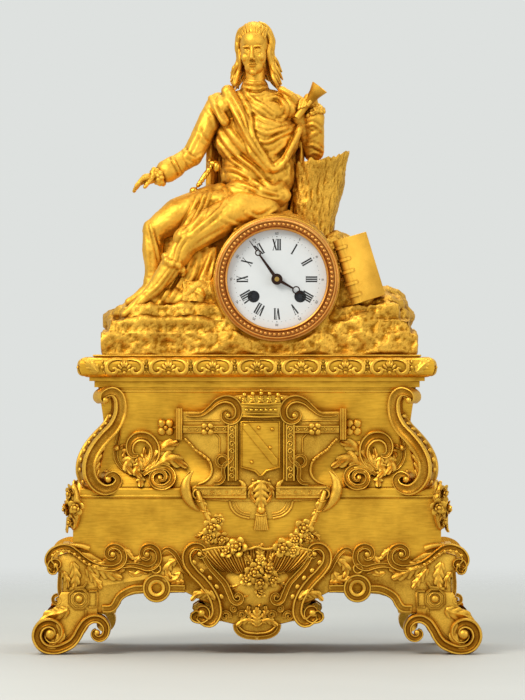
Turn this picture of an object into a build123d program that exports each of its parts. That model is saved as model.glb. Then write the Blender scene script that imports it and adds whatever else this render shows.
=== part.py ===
from build123d import *

import os
from math import atan2, cos, degrees, hypot, radians, sin, sqrt

# Gilt-bronze figural mantel clock: a seated gentleman on a rocky terrace above
# a waisted case with scroll feet, and a round eight-day striking movement.
# Frame: +Z up, the front faces -Y, origin on the floor under the middle of the case.
# All sizes in millimetres.

# ---- driving dimensions -------------------------------------------------------
WIDTH = 357.0            # over the outer volutes of the front feet
DEPTH = 150.0            # over the front and back feet
HEIGHT = 510.0           # floor to the crown of the figure's head
DIAL_X, DIAL_Z = 16.0, 301.0   # the dial sits right of the case's middle
HOUSING_R = 50.0         # drum of the terrace that holds the movement
BORE_R = 43.5            # hole through that drum
HOUSING_HALF = 50.0      # half the drum's length, along Y
PLINTH_W, PLINTH_D = 296.0, 116.0
PLINTH_Z0, PLINTH_Z1 = 50.0, 124.0
BODY_Z1 = 214.0          # top of the waisted body
CORNICE_Z1 = 240.0       # top of the cornice, where the terrace stands
CORNICE_W, CORNICE_D = 285.0, 122.0
LUG_X, LUG_Z, LUG_HOLE_R = 80.5, 53.0, 3.9   # screw holes in the front apron
WALL = 4.0

# The movement's layers along Y: smaller is nearer the front.
PLATE_R, PLATE_T = 39.0, 2.0
FRONT_PLATE_Y = -43.0    # front face of the front plate
BACK_PLATE_Y = -9.0      # front face of the back plate
BARREL_U, BARREL_W = 18.8, -13.9   # winding arbors, from the dial's centre
PIVOT_PLAY = 0.05
PENDULUM_Y = 3.5         # the plane in which the rod swings
ANCHOR_W = 34.0          # axis of anchor and pendulum above the dial's centre
PENDULUM_LENGTH = 151.0  # beats 9240 times an hour

os.makedirs("parts", exist_ok=True)


def export(builder, name):
    """Labels a finished piece and writes it as its own STEP file."""
    builder.part.label = name
    export_step(builder.part, f"parts/{name}.step")


def facing(y, u=DIAL_X, w=DIAL_Z):
    """A plane across the clock at depth y: x to the right, y up, extruding to the front."""
    return Plane(origin=(u, y, w), x_dir=(1, 0, 0), z_dir=(0, -1, 0))


def at(u, w, y):
    """The same plane, centred on a point of the movement."""
    return facing(y, DIAL_X + u, DIAL_Z + w)


ON_FLOOR = (Align.CENTER, Align.CENTER, Align.MIN)


def limb(points, sizes):
    """A chain of cones with a ball at each point: a plain arm, leg, trunk or stem."""
    with BuildPart() as chain:
        for start, end, r0, r1 in zip(points, points[1:], sizes, sizes[1:]):
            run = Vector(*end) - Vector(*start)
            with Locations(Plane(origin=start, z_dir=run)):
                if abs(r0 - r1) < 0.01:
                    Cylinder(r0, run.length, align=ON_FLOOR)
                else:
                    Cone(r0, r1, run.length, align=ON_FLOOR)
        for point, radius in zip(points, sizes):
            with Locations(point):
                Sphere(radius)
    return chain.part


# ---- the base: plinth, aprons with their feet ----------------------------------
# The plinth is a hollow box whose top plate carries the tie rods.
TIE_X = (-92.0, 98.0)
TIE_R = 2.0

with BuildPart() as lower_plinth:
    with Locations((0, 0, PLINTH_Z0)):
        Box(PLINTH_W, PLINTH_D, PLINTH_Z1 - PLINTH_Z0, align=ON_FLOOR)
        Box(PLINTH_W - 2 * WALL, PLINTH_D - 2 * WALL, PLINTH_Z1 - PLINTH_Z0 - WALL,
            align=ON_FLOOR, mode=Mode.SUBTRACT)
    for x in TIE_X:
        with Locations((x, 0, PLINTH_Z1 - WALL / 2)):
            Cylinder(TIE_R + 0.3, 2 * WALL, mode=Mode.SUBTRACT)
export(lower_plinth, "lower_plinth")

PLINTH_BLOCK = Pos(0, 0, PLINTH_Z0) * Box(PLINTH_W, PLINTH_D, PLINTH_Z1 - PLINTH_Z0,
                                          align=ON_FLOOR)
APRON_T = 8.0
APRON_TOP = 87.0
FOOT_T = 25.0            # the feet are deeper than the apron between them
VOLUTE_X, VOLUTE_Z, VOLUTE_R = WIDTH / 2 - 15.5, 14.8, 15.5
CURL_X, CURL_Z, CURL_R = 129.5, 21.0, 9.5


def front_outline():
    """The apron between its feet: a straight top, two arches and a middle tongue."""
    with BuildSketch() as outline:
        with BuildLine():
            corner = Polyline((0, APRON_TOP), (159, APRON_TOP), (159, 33), (113.7, 33), (110, 41))
            arch = RadiusArc(corner @ 1, (91.6, 48.6), 24)
            rest = Polyline(arch @ 1, (57.4, 49.2), (50, 46))
            scroll = RadiusArc(rest @ 1, (32, 26), -22)
            Polyline(scroll @ 1, (18.6, 24))
            tongue = RadiusArc((18.6, 24), (0, 12.5), 18)
            Line(tongue @ 1, (0, APRON_TOP))
        make_face()
        mirror(about=Plane.YZ)
    return outline.sketch


def apron_and_feet(y_front, y_foot):
    """A front or back apron with its two scroll feet, as one casting."""
    with BuildPart() as casting:
        with BuildSketch(facing(y_front + APRON_T, 0, 0)):
            add(front_outline())
            with Locations((-LUG_X, LUG_Z), (LUG_X, LUG_Z)):
                Circle(11.5)
                Circle(LUG_HOLE_R, mode=Mode.SUBTRACT)
        extrude(amount=APRON_T)
        with BuildSketch(facing(y_foot + FOOT_T, 0, 0)):
            for side in (-1, 1):
                with Locations((side * VOLUTE_X, VOLUTE_Z)):
                    Circle(VOLUTE_R)
                with Locations((side * CURL_X, CURL_Z)):
                    Circle(CURL_R)
                    Circle(CURL_R - 4.5, mode=Mode.SUBTRACT)
                with BuildLine():
                    Polyline((side * 152, 2.7), (side * 146.7, 8.8), (side * 137, 23.5),
                             (side * 127, 34), (side * 127, 50), (side * 159, 50),
                             (side * 164, 36), (side * 172, 24), (side * 163, 0.8), close=True)
                make_face()
        extrude(amount=FOOT_T)
        # the feet stand on small flats, so that the casting bears evenly
        with Locations((0, 0, -5)):
            Box(2 * WIDTH, 2 * DEPTH, 5, align=ON_FLOOR, mode=Mode.SUBTRACT)
        add(lower_plinth.part, mode=Mode.SUBTRACT)
    return casting.part


FOOT_FRONT_Y = -DEPTH / 2
APRON_FRONT_Y = -PLINTH_D / 2 - APRON_T

with BuildPart() as apron_front:
    add(apron_and_feet(APRON_FRONT_Y, FOOT_FRONT_Y))
export(apron_front, "apron_front")

with BuildPart() as apron_back:
    add(mirror(apron_and_feet(APRON_FRONT_Y, FOOT_FRONT_Y), about=Plane.XZ, mode=Mode.PRIVATE))
export(apron_back, "apron_back")

SIDE_HALF = DEPTH / 2 - FOOT_T      # the side aprons run between the feet


def side_apron(side):
    """A side apron: one arch with a small drop in its middle."""
    plane = Plane(origin=(side * PLINTH_W / 2, 0, 0), x_dir=(0, 1, 0), z_dir=(1, 0, 0))
    with BuildPart() as casting:
        with BuildSketch(plane):
            with BuildLine():
                foot = Polyline((0, APRON_TOP), (SIDE_HALF, APRON_TOP), (SIDE_HALF, 33), (39, 33))
                arch = RadiusArc(foot @ 1, (20, 48), 22)
                Polyline(arch @ 1, (13, 48), (0, 34), (0, APRON_TOP))
            make_face()
            mirror(about=Plane.YZ)
        extrude(amount=side * APRON_T)
    return casting.part


with BuildPart() as apron_left:
    add(side_apron(-1))
export(apron_left, "apron_left")

with BuildPart() as apron_right:
    add(side_apron(1))
export(apron_right, "apron_right")

# A fluted shell fills the middle of the front apron.
SHELL_T = 8.0
with BuildPart() as centre_shell:
    with BuildSketch(facing(APRON_FRONT_Y, 0, 0)):
        with BuildLine():
            side = Polyline((0, 88), (44, 88), (46, 78))
            flank = RadiusArc(side @ 1, (16, 26), -60)
            Line(flank @ 1, (0, 20))
            Line((0, 20), (0, 88))
        make_face()
        mirror(about=Plane.YZ)
    extrude(amount=SHELL_T)
    fillet(centre_shell.faces().sort_by(Axis.Y)[0].edges(), 2.5)
export(centre_shell, "centre_shell")

# ---- the waisted body and its cornice ------------------------------------------
BODY_FOOT_H = 10.0
BODY_CAVITY_W, BODY_CAVITY_D = 226.0, 76.0
# (height, width, depth) of the waisted wall from its foot moulding upwards
WAIST = ((PLINTH_Z1 + BODY_FOOT_H, 272, 108), (150, 252, 94), (175, 246, 90), (BODY_Z1, 256, 98))

with BuildPart() as upper_body:
    with Locations((0, 0, PLINTH_Z1)):
        Box(284, 112, BODY_FOOT_H, align=ON_FLOOR)
    fillet(upper_body.faces().sort_by(Axis.Z)[-1].edges(), 3)
    for z, w, d in WAIST:
        with BuildSketch(Plane.XY.offset(z)):
            Rectangle(w, d)
    loft()
    with Locations((0, 0, PLINTH_Z1)):
        Box(BODY_CAVITY_W, BODY_CAVITY_D, BODY_Z1 - PLINTH_Z1, align=ON_FLOOR, mode=Mode.SUBTRACT)
export(upper_body, "upper_body")

with BuildPart() as cornice:
    with Locations((0, 0, BODY_Z1 + 8)):
        Box(CORNICE_W, CORNICE_D, 16, align=ON_FLOOR)
    fillet(cornice.faces().sort_by(Axis.Z)[0].edges(), 7)
    fillet(cornice.faces().sort_by(Axis.Z)[-1].edges(), 6)
    with Locations((0, 0, BODY_Z1)):
        Box(262, 102, 5, align=ON_FLOOR)
    with Locations((0, 0, BODY_Z1 + 5)):
        Box(270, 108, 3, align=ON_FLOOR)
    with Locations((0, 0, BODY_Z1 + 24)):
        Box(262, 106, 2, align=ON_FLOOR)
    with Locations((0, 0, BODY_Z1)):
        Box(216, 72, CORNICE_Z1 - BODY_Z1, align=ON_FLOOR, mode=Mode.SUBTRACT)
export(cornice, "cornice")

# ---- corner consoles and the flowers that hang from them ------------------------
CONSOLE_T = 15.0
CONSOLE_CORNER = (119.0, 42.4)


def console(side_x, side_y):
    """An S-shaped scroll set diagonally at one corner of the body."""
    outward = Vector(side_x, side_y, 0).normalized()
    start = Vector(side_x * CONSOLE_CORNER[0], side_y * CONSOLE_CORNER[1], 0)
    plane = Plane(origin=start, x_dir=outward, z_dir=outward.cross(Vector(0, 0, 1)))
    with BuildPart() as scroll:
        with BuildSketch(plane):
            with BuildLine():
                Spline((8, 208), (6, 186), (22, 165), (34, 145), (22, 130), (10, 132))
            trace(line_width=9)
            with Locations((12, 200)):
                Circle(9)
            with Locations((12, 141)):
                Circle(8)
        extrude(amount=CONSOLE_T / 2, both=True)
        add(upper_body.part, mode=Mode.SUBTRACT)
        add(cornice.part, mode=Mode.SUBTRACT)
        add(lower_plinth.part, mode=Mode.SUBTRACT)
    return scroll.part


with BuildPart() as front_consoles:
    add(console(-1, -1))
    add(console(1, -1))
export(front_consoles, "front_consoles")

with BuildPart() as back_consoles:
    add(console(-1, 1))
    add(console(1, 1))
export(back_consoles, "back_consoles")


def flower_drop(side_x, side_y):
    """Three flower heads and a leaf tip, cast in one piece, hung at a plinth corner."""
    x, y = side_x * 151, side_y * 63
    stem = limb([(x, y, 133), (x - side_x * 1, y, 118), (x, y, 106), (x, y, 97)], [4, 8, 7, 3])
    with BuildPart() as drop:
        add(stem)
        add(lower_plinth.part, mode=Mode.SUBTRACT)
        add(upper_body.part, mode=Mode.SUBTRACT)
        add(console(side_x, side_y), mode=Mode.SUBTRACT)
    return drop.part


with BuildPart() as flower_drops:
    for side_x in (-1, 1):
        for side_y in (-1, 1):
            add(flower_drop(side_x, side_y))
export(flower_drops, "flower_drops")

# ---- mounts on the front: cartouche, shield, coronet, foliage, garland -----------
CARTOUCHE_X = 3.0        # middle of the strapwork panel
CARTOUCHE_FRONT = -62.0

with BuildPart() as cartouche:
    with BuildSketch(facing(-40, CARTOUCHE_X, 0)):
        with BuildLine():
            top = Polyline((0, 196), (18, 196), (18, 204))
            crest = RadiusArc(top @ 1, (44, 194), 18)
            Polyline(crest @ 1, (62, 192), (62, 160), (50, 158), (44, 146), (46, 134), (52, 128))
            Polyline((52, 128), (56, 112), (40, 108), (34, 124), (24, 124), (12, 112), (6, 112),
                     (6, 100), (0, 100), (0, 196))
        make_face()
        mirror(about=Plane.YZ)
    extrude(amount=-40 - CARTOUCHE_FRONT)
    add(upper_body.part, mode=Mode.SUBTRACT)
    add(PLINTH_BLOCK, mode=Mode.SUBTRACT)
    # a shallow bed for the shield
    with Locations((CARTOUCHE_X, CARTOUCHE_FRONT, 166)):
        Box(42, 4, 58, mode=Mode.SUBTRACT)
export(cartouche, "cartouche")

with BuildPart() as shield:
    with BuildSketch(facing(CARTOUCHE_FRONT + 2, CARTOUCHE_X, 0)):
        with BuildLine():
            edge = Polyline((0, 190), (18, 190), (18, 149))
            foot = RadiusArc(edge @ 1, (0, 144), 14)
            Line(foot @ 1, (0, 190))
        make_face()
        mirror(about=Plane.YZ)
    extrude(amount=4)
export(shield, "shield")

with BuildPart() as coronet:
    with BuildSketch(facing(CARTOUCHE_FRONT, CARTOUCHE_X, 0)):
        with Locations((0, 199)):
            Rectangle(36, 8)
        with BuildLine():
            Polyline((-18, 200), (-21, 208), (-12, 205), (-6, 210), (0, 205), (6, 210),
                     (12, 205), (21, 208), (18, 200), close=True)
        make_face()
    extrude(amount=5)
    add(shield.part, mode=Mode.SUBTRACT)
export(coronet, "coronet")

with BuildPart() as acanthus_mounts:
    with BuildSketch(facing(-40, 0, 0)):
        with BuildLine():
            Polyline((57, 130), (110, 130), (113, 150), (104, 160), (102, 178), (92, 182),
                     (84, 171), (72, 166), (57, 168), close=True)
        make_face()
        mirror(about=Plane.YZ)
    extrude(amount=18)
    add(upper_body.part, mode=Mode.SUBTRACT)
    add(cartouche.part, mode=Mode.SUBTRACT)
export(acanthus_mounts, "acanthus_mounts")

with BuildPart() as garland:
    for side in (-1, 1):
        add(limb([(CARTOUCHE_X + side * 46, -65, 118), (side * 36 + 2, -68, 104),
                  (side * 26 + 2, -69, 90), (side * 14 + 1, -68, 80), (0, -67.5, 66)],
                 [3, 5, 6, 7.5, 7.5]))
    for piece in (cartouche, lower_plinth, apron_front, centre_shell):
        add(piece.part, mode=Mode.SUBTRACT)
export(garland, "garland")

# ---- the terrace, its stump and the book ------------------------------------------
TERRACE_TOP = 282.0

with BuildPart() as terrace:
    with BuildSketch(Plane.XY.offset(CORNICE_Z1)):
        with Locations((2, 0)):
            Rectangle(254, 100)
    with BuildSketch(Plane.XY.offset(262)):
        with Locations((2, 0)):
            Rectangle(244, 96)
    with BuildSketch(Plane.XY.offset(TERRACE_TOP)):
        with Locations((1, 0)):
            Rectangle(214, 78)
    loft(ruled=True)
    with Locations((104, 0, TERRACE_TOP - 12)):
        Box(36, 60, 22, align=ON_FLOOR)
    with Locations(facing(HOUSING_HALF)):
        Cylinder(HOUSING_R, 2 * HOUSING_HALF, align=ON_FLOOR)
    with Locations((62, 4, 300)):
        Box(22, 56, 44)
    # hollow underneath, a bore for the movement, and a slot for the pendulum
    with Locations((2, 0, CORNICE_Z1)):
        Box(220, 76, 12, align=ON_FLOOR, mode=Mode.SUBTRACT)
    with Locations(facing(HOUSING_HALF)):
        Cylinder(BORE_R, 2 * HOUSING_HALF, align=ON_FLOOR, mode=Mode.SUBTRACT)
    with Locations((DIAL_X, PENDULUM_Y, CORNICE_Z1)):
        Box(46, 18, 30, align=ON_FLOOR, mode=Mode.SUBTRACT)
    for x in TIE_X:
        with Locations((x, 0, CORNICE_Z1)):
            Cylinder(TIE_R + 0.1, 28, align=ON_FLOOR, mode=Mode.SUBTRACT)
export(terrace, "terrace")

with BuildPart() as tie_rods:
    for x in TIE_X:
        with Locations((x, 0, PLINTH_Z1 - WALL - 8)):
            Cylinder(TIE_R, CORNICE_Z1 + 26 - PLINTH_Z1 + WALL + 8, align=ON_FLOOR)
        with BuildSketch(Plane.XY.offset(PLINTH_Z1 - WALL - 6)):
            with Locations((x, 0)):
                RegularPolygon(5.5, 6)
        extrude(amount=6)
export(tie_rods, "tie_rods")

with BuildPart() as stump:
    add(limb([(40, 10, 318), (43, 10, 350), (48, 10, 374), (52, 10, 386)], [22, 21, 20, 20]))
    with BuildSketch(Plane.XY.offset(380)):
        with Locations((51, 10)):
            Circle(20)
    with BuildSketch(Plane.XY.offset(406)):
        with Locations((54, 10)):
            Circle(21)
    loft()
    add(terrace.part, mode=Mode.SUBTRACT)
    with Locations(facing(HOUSING_HALF)):
        Cylinder(HOUSING_R, 2 * HOUSING_HALF, align=ON_FLOOR, mode=Mode.SUBTRACT)
export(stump, "stump")

BOOK_W, BOOK_H, BOOK_T = 26.0, 52.0, 11.0
with BuildPart() as book:
    with Locations(Location((83.5, -26, 311.5), (0, -18, -14))):
        Box(BOOK_W, BOOK_T, BOOK_H)
    add(terrace.part, mode=Mode.SUBTRACT)
    add(stump.part, mode=Mode.SUBTRACT)
export(book, "book")

# ---- the seated figure ---------------------------------------------------------------
# It is cast in pieces, pinned together at neck, shoulders and waist.
with BuildPart() as figure_body:
    with BuildSketch(Plane.XY.offset(340)):
        with Locations((2, -6)):
            Ellipse(36, 27)
    with BuildSketch(Plane.XY.offset(385)):
        with Locations((1, -6)):
            Ellipse(34, 24)
    with BuildSketch(Plane.XY.offset(425)):
        with Locations((0, -3)):
            Ellipse(36, 21)
    with BuildSketch(Plane.XY.offset(450)):
        with Locations((0, 0)):
            Ellipse(33, 17)
    with BuildSketch(Plane.XY.offset(462)):
        with Locations((0, 0)):
            Ellipse(14, 12)
    loft()
    for piece in (stump, terrace):
        add(piece.part, mode=Mode.SUBTRACT)
    with Locations(facing(HOUSING_HALF)):
        Cylinder(HOUSING_R, 2 * HOUSING_HALF, align=ON_FLOOR, mode=Mode.SUBTRACT)
export(figure_body, "figure_body")

with BuildPart() as figure_head:
    add(limb([(0, 0, 456), (0, -2, 476), (0, -2, 494)], [9, 14, 16]))
    with Locations((0, 0, HEIGHT)):
        Box(60, 60, 30, align=ON_FLOOR, mode=Mode.SUBTRACT)
    add(figure_body.part, mode=Mode.SUBTRACT)
export(figure_head, "figure_head")

with BuildPart() as figure_right_arm:
    add(limb([(-33, -2, 443), (-56, -12, 405), (-83, -30, 385), (-100, -38, 376)], [11, 9, 7, 4.5]))
    add(figure_body.part, mode=Mode.SUBTRACT)
export(figure_right_arm, "figure_right_arm")

with BuildPart() as figure_left_arm:
    add(limb([(30, -2, 442), (43, -9, 418), (46, -16, 413)], [11, 10.5, 9]))
    add(limb([(46, -16, 413), (45, -24, 434), (41, -30, 444)], [9, 7.5, 6]))
    for piece in (figure_body, stump):
        add(piece.part, mode=Mode.SUBTRACT)
export(figure_left_arm, "figure_left_arm")

with BuildPart() as rolled_paper:
    add(limb([(30, -33, 428), (42, -33, 446), (51, -31, 459)], [4, 4, 5.5]))
    for piece in (figure_left_arm, figure_body):
        add(piece.part, mode=Mode.SUBTRACT)
export(rolled_paper, "rolled_paper")

with BuildPart() as figure_legs:
    add(limb([(16, -28, 362), (-30, -38, 348), (-62, -42, 326), (-92, -44, 284), (-104, -46, 277)],
             [15, 14.5, 11, 6, 5]))
    add(limb([(-22, -16, 360), (-74, -20, 344), (-84, -22, 330), (-84, -24, 292)],
             [14, 12, 11, 9]))
    add(limb([(-62, -14, 300), (-48, -14, 292)], [16, 12]))
    for piece in (figure_body, terrace, stump, rolled_paper):
        add(piece.part, mode=Mode.SUBTRACT)
    with Locations(facing(HOUSING_HALF)):
        Cylinder(HOUSING_R, 2 * HOUSING_HALF, align=ON_FLOOR, mode=Mode.SUBTRACT)
export(figure_legs, "figure_legs")

# ---- the movement: layout of its arbors ------------------------------------------------
def meeting(a, radius_a, b, radius_b, side):
    """The point at given distances from two others, on the chosen side of their line."""
    du, dw = b[0] - a[0], b[1] - a[1]
    span = hypot(du, dw)
    along = (radius_a ** 2 - radius_b ** 2 + span ** 2) / (2 * span)
    off = side * sqrt(radius_a ** 2 - along ** 2)
    return a[0] + (along * du - off * dw) / span, a[1] + (along * dw + off * du) / span


def polar(centre, distance, angle):
    """A point at a distance and an angle from another."""
    return (centre[0] + distance * cos(radians(angle)),
            centre[1] + distance * sin(radians(angle)))


def bearing(a, b):
    """The direction of the line of centres, in degrees."""
    return degrees(atan2(b[1] - a[1], b[0] - a[0]))


# tooth counts: (wheel, pinion it drives) and the module of each mesh
BARREL, SECOND, M_BARREL = 80, 10, 0.43
INTER, CENTRE_PINION, M_INTER = 70, 10, 0.35
CENTRE, THIRD_PINION, M_CENTRE = 84, 7, 0.30
THIRD, ESCAPE_PINION, M_THIRD = 77, 7, 0.26
ESCAPE_TEETH, ESCAPE_R = 35, 7.5
STRIKE_2, PIN_PINION, M_STRIKE = 72, 8, 0.35
PIN, WARN_PINION, M_PIN = 60, 7, 0.30
WARN, FLY_PINION, M_WARN = 60, 7, 0.26
CANNON, MINUTE, M_MINUTE = 12, 36, 0.50
MINUTE_PINION, HOUR, M_HOUR = 10, 40, 0.48

AT_CENTRE = (0.0, 0.0)
AT_GOING = (BARREL_U, BARREL_W)
AT_STRIKE = (-BARREL_U, BARREL_W)
D_BARREL = M_BARREL * (BARREL + SECOND) / 2
AT_INTER = meeting(AT_GOING, D_BARREL, AT_CENTRE, M_INTER * (INTER + CENTRE_PINION) / 2, -1)
AT_ESCAPE = (0.0, 22.2)
AT_THIRD = meeting(AT_CENTRE, M_CENTRE * (CENTRE + THIRD_PINION) / 2,
                   AT_ESCAPE, M_THIRD * (THIRD + ESCAPE_PINION) / 2, 1)
AT_ANCHOR = (0.0, ANCHOR_W)
AT_SECOND = polar(AT_STRIKE, D_BARREL, 105.6)
AT_PIN = polar(AT_SECOND, M_STRIKE * (STRIKE_2 + PIN_PINION) / 2, 62)
AT_WARN = polar(AT_PIN, M_PIN * (PIN + WARN_PINION) / 2, 35)
AT_FLY = polar(AT_WARN, M_WARN * (WARN + FLY_PINION) / 2, 100)
AT_MINUTE = (0.0, -M_MINUTE * (CANNON + MINUTE) / 2)
PILLARS = ((-28.0, 21.9), (28.0, 21.9), (-12.0, -34.0), (12.0, -34.0))
AT_REGULATOR = (0.0, 41.6)
AT_HAMMER = (-26.0, -27.0)
AT_BELL_POST = (35.0, 0.0)
AT_BELL = (0.0, -2.0)


def disc(point, radius, y_front, y_back):
    """A solid cylinder along Y between two depths."""
    with BuildPart() as solid:
        with Locations(at(*point, y_back)):
            Cylinder(radius, y_back - y_front, align=ON_FLOOR)
    return solid.part


def toothed(point, y_front, y_back, outline):
    """A disc with the given closed outline of (radius, angle) points."""
    with BuildPart() as solid:
        with BuildSketch(at(*point, y_back)):
            with BuildLine():
                Polyline(*[(r * cos(radians(a)), r * sin(radians(a))) for r, a in outline],
                         close=True)
            make_face()
        extrude(amount=y_back - y_front)
    return solid.part


def gear(point, y_front, y_back, teeth, module, phase):
    """A wheel or pinion with slim teeth, one of them centred at the phase angle."""
    pitch = module * teeth / 2
    root, tip, step = pitch - 1.2 * module, pitch + 0.6 * module, 360 / teeth
    outline = [(radius, phase + (tooth + share) * step)
               for tooth in range(teeth)
               for radius, share in ((root, -0.24), (tip, -0.10), (tip, 0.10), (root, 0.24))]
    return toothed(point, y_front, y_back, outline)


def saw(point, y_front, y_back, teeth, root, tip, phase):
    """A ratchet or escape wheel, its teeth leaning one way."""
    step = 360 / teeth
    outline = [(radius, phase + (tooth + share) * step)
               for tooth in range(teeth)
               for radius, share in ((root, 0.0), (tip, 0.82), (tip, 0.98))]
    return toothed(point, y_front, y_back, outline)


def wheel_phase(wheel_at, pinion_at):
    """The wheel has a tooth on the line of centres."""
    return bearing(wheel_at, pinion_at)


def pinion_phase(wheel_at, pinion_at, leaves):
    """The pinion has a gap on the line of centres."""
    return bearing(wheel_at, pinion_at) + 180 + 180 / leaves


def arbor(point, radius, pivot):
    """A shaft between the plates with a pivot in each."""
    with BuildPart() as solid:
        add(disc(point, radius, FRONT_PLATE_Y + PLATE_T + 0.1, BACK_PLATE_Y - 0.1))
        add(disc(point, pivot, FRONT_PLATE_Y, BACK_PLATE_Y + PLATE_T))
    return solid.part


# (arbor, pivot radius) of everything that turns in both plates
FINE_PIVOTS = ((AT_THIRD, 0.45), (AT_ESCAPE, 0.4), (AT_INTER, 0.6), (AT_SECOND, 0.6),
               (AT_PIN, 0.6), (AT_WARN, 0.45), (AT_FLY, 0.4))
BARREL_ARBOR_R = 2.2
DRUM_R, DRUM_FRONT, DRUM_BACK = 15.5, -38.0, -20.0

# ---- plates, straps and the rings that hold the movement in its drum -------------------
with BuildPart() as front_plate:
    add(disc(AT_CENTRE, PLATE_R, FRONT_PLATE_Y, FRONT_PLATE_Y + PLATE_T))
    for side in (-1, 1):
        with Locations(Location((DIAL_X + side * 39.3, FRONT_PLATE_Y + PLATE_T / 2, DIAL_Z))):
            Box(2.6, PLATE_T, 5)
    for pillar in PILLARS:
        add(disc(pillar, 2.0, FRONT_PLATE_Y + PLATE_T, BACK_PLATE_Y))
        add(disc(pillar, 1.1, BACK_PLATE_Y, BACK_PLATE_Y + PLATE_T + 1.5))
    add(disc(AT_MINUTE, 0.8, FRONT_PLATE_Y - 4.2, FRONT_PLATE_Y))
    for point, pivot in FINE_PIVOTS:
        add(disc(point, pivot + PIVOT_PLAY, -50, -30), mode=Mode.SUBTRACT)
    add(disc(AT_CENTRE, 1.25, -50, -30), mode=Mode.SUBTRACT)
    add(disc(AT_ANCHOR, 0.5, -50, -30), mode=Mode.SUBTRACT)
    for point in (AT_GOING, AT_STRIKE):
        add(disc(point, BARREL_ARBOR_R + PIVOT_PLAY, -50, -30), mode=Mode.SUBTRACT)
export(front_plate, "front_plate")

with BuildPart() as back_plate:
    add(disc(AT_CENTRE, PLATE_R, BACK_PLATE_Y, BACK_PLATE_Y + PLATE_T))
    add(disc(AT_HAMMER, 1.0, BACK_PLATE_Y + PLATE_T, 26))
    for point, pivot in FINE_PIVOTS:
        add(disc(point, pivot + PIVOT_PLAY, -15, 0), mode=Mode.SUBTRACT)
    for pillar in PILLARS:
        add(disc(pillar, 1.15, -15, 0), mode=Mode.SUBTRACT)
    add(disc(AT_SECOND, 0.95, -15, 0), mode=Mode.SUBTRACT)
    add(disc(AT_CENTRE, 0.75, -15, 0), mode=Mode.SUBTRACT)
    add(disc(AT_ANCHOR, 2.0, -15, 0), mode=Mode.SUBTRACT)
    for point in (AT_GOING, AT_STRIKE):
        add(disc(point, 1.5 + PIVOT_PLAY, -15, 0), mode=Mode.SUBTRACT)
export(back_plate, "back_plate")

with BuildPart() as movement_straps:
    for side in (-1, 1):
        with Locations((DIAL_X + side * 41.5, 0, DIAL_Z)):
            Box(1.8, 2 * HOUSING_HALF, 5)
export(movement_straps, "movement_straps")

BEZEL_FRONT, BEZEL_IN = -57.0, 40.0
with BuildPart() as bezel:
    add(disc(AT_CENTRE, HOUSING_R, BEZEL_FRONT + 3, -HOUSING_HALF))
    add(disc(AT_CENTRE, HOUSING_R - 2.5, BEZEL_FRONT, BEZEL_FRONT + 3))
    add(disc(AT_CENTRE, BORE_R - 0.1, -HOUSING_HALF, -HOUSING_HALF + 4))
    add(disc(AT_CENTRE, BEZEL_IN, -80, 0), mode=Mode.SUBTRACT)
    add(disc(AT_CENTRE, BORE_R - 0.9, -HOUSING_HALF, 0), mode=Mode.SUBTRACT)
    add(disc(AT_REGULATOR, 0.8, -80, 0), mode=Mode.SUBTRACT)
export(bezel, "bezel")

DIAL_R = 40.5
with BuildPart() as dial:
    add(disc(AT_CENTRE, DIAL_R, -HOUSING_HALF, -HOUSING_HALF + 1.4))
    for foot in ((-28, 12), (28, 12), (0, -31)):
        add(disc(foot, 1.0, -HOUSING_HALF + 1.4, FRONT_PLATE_Y))
    add(disc(AT_CENTRE, 3.2, -80, -44), mode=Mode.SUBTRACT)
    for point in (AT_GOING, AT_STRIKE):
        add(disc(point, 4.8, -80, -44), mode=Mode.SUBTRACT)
export(dial, "dial")

# The back ring carries the door on a hinge at its side; the door shuts on it.
HINGE_U, HINGE_Y, HINGE_R = 50.5, 54.5, 1.6
BACK_RING_Y = HOUSING_HALF
with BuildPart() as back_bezel:
    add(disc(AT_CENTRE, HOUSING_R, BACK_RING_Y, BACK_RING_Y + 3))
    add(disc(AT_CENTRE, 40.0, 40, 60), mode=Mode.SUBTRACT)
    for w in (-6, 6):
        with Locations((DIAL_X + HINGE_U - 1.5, BACK_RING_Y + 2, DIAL_Z + w)):
            Box(3, 4, 6)
        with Locations((DIAL_X + HINGE_U, HINGE_Y, DIAL_Z + w)):
            Cylinder(HINGE_R, 6)
    with Locations((DIAL_X + HINGE_U, HINGE_Y, DIAL_Z)):
        Cylinder(HINGE_R + 0.3, 6.1, mode=Mode.SUBTRACT)
        Cylinder(0.6, 18)
export(back_bezel, "back_bezel")

with BuildPart() as back_door:
    add(disc(AT_CENTRE, 46.0, BACK_RING_Y + 3.2, BACK_RING_Y + 5.2))
    with BuildSketch(at(0, 0, BACK_RING_Y + 6)):
        for angle in range(0, 360, 45):
            with PolarLocations(24, 1, angle + 22.5):
                SlotOverall(20, 9)
    extrude(amount=4, mode=Mode.SUBTRACT)
    add(disc((-42, 0), 2.0, BACK_RING_Y + 5.2, BACK_RING_Y + 8.2))
    with Locations((DIAL_X + HINGE_U - 3, HINGE_Y - 0.3, DIAL_Z)):
        Box(5.6, 2.0, 5.8)
    with Locations((DIAL_X + HINGE_U, HINGE_Y, DIAL_Z)):
        Cylinder(HINGE_R, 5.8)
        Cylinder(0.65, 20, mode=Mode.SUBTRACT)
export(back_door, "back_door")

# ---- dial work and hands ----------------------------------------------------------------
MINUTE_AT, HOUR_AT = 125.5, -29.4     # where the hands point, from the three o'clock side
CANNON_R, HOUR_TUBE_R = 1.9, 2.8

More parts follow.
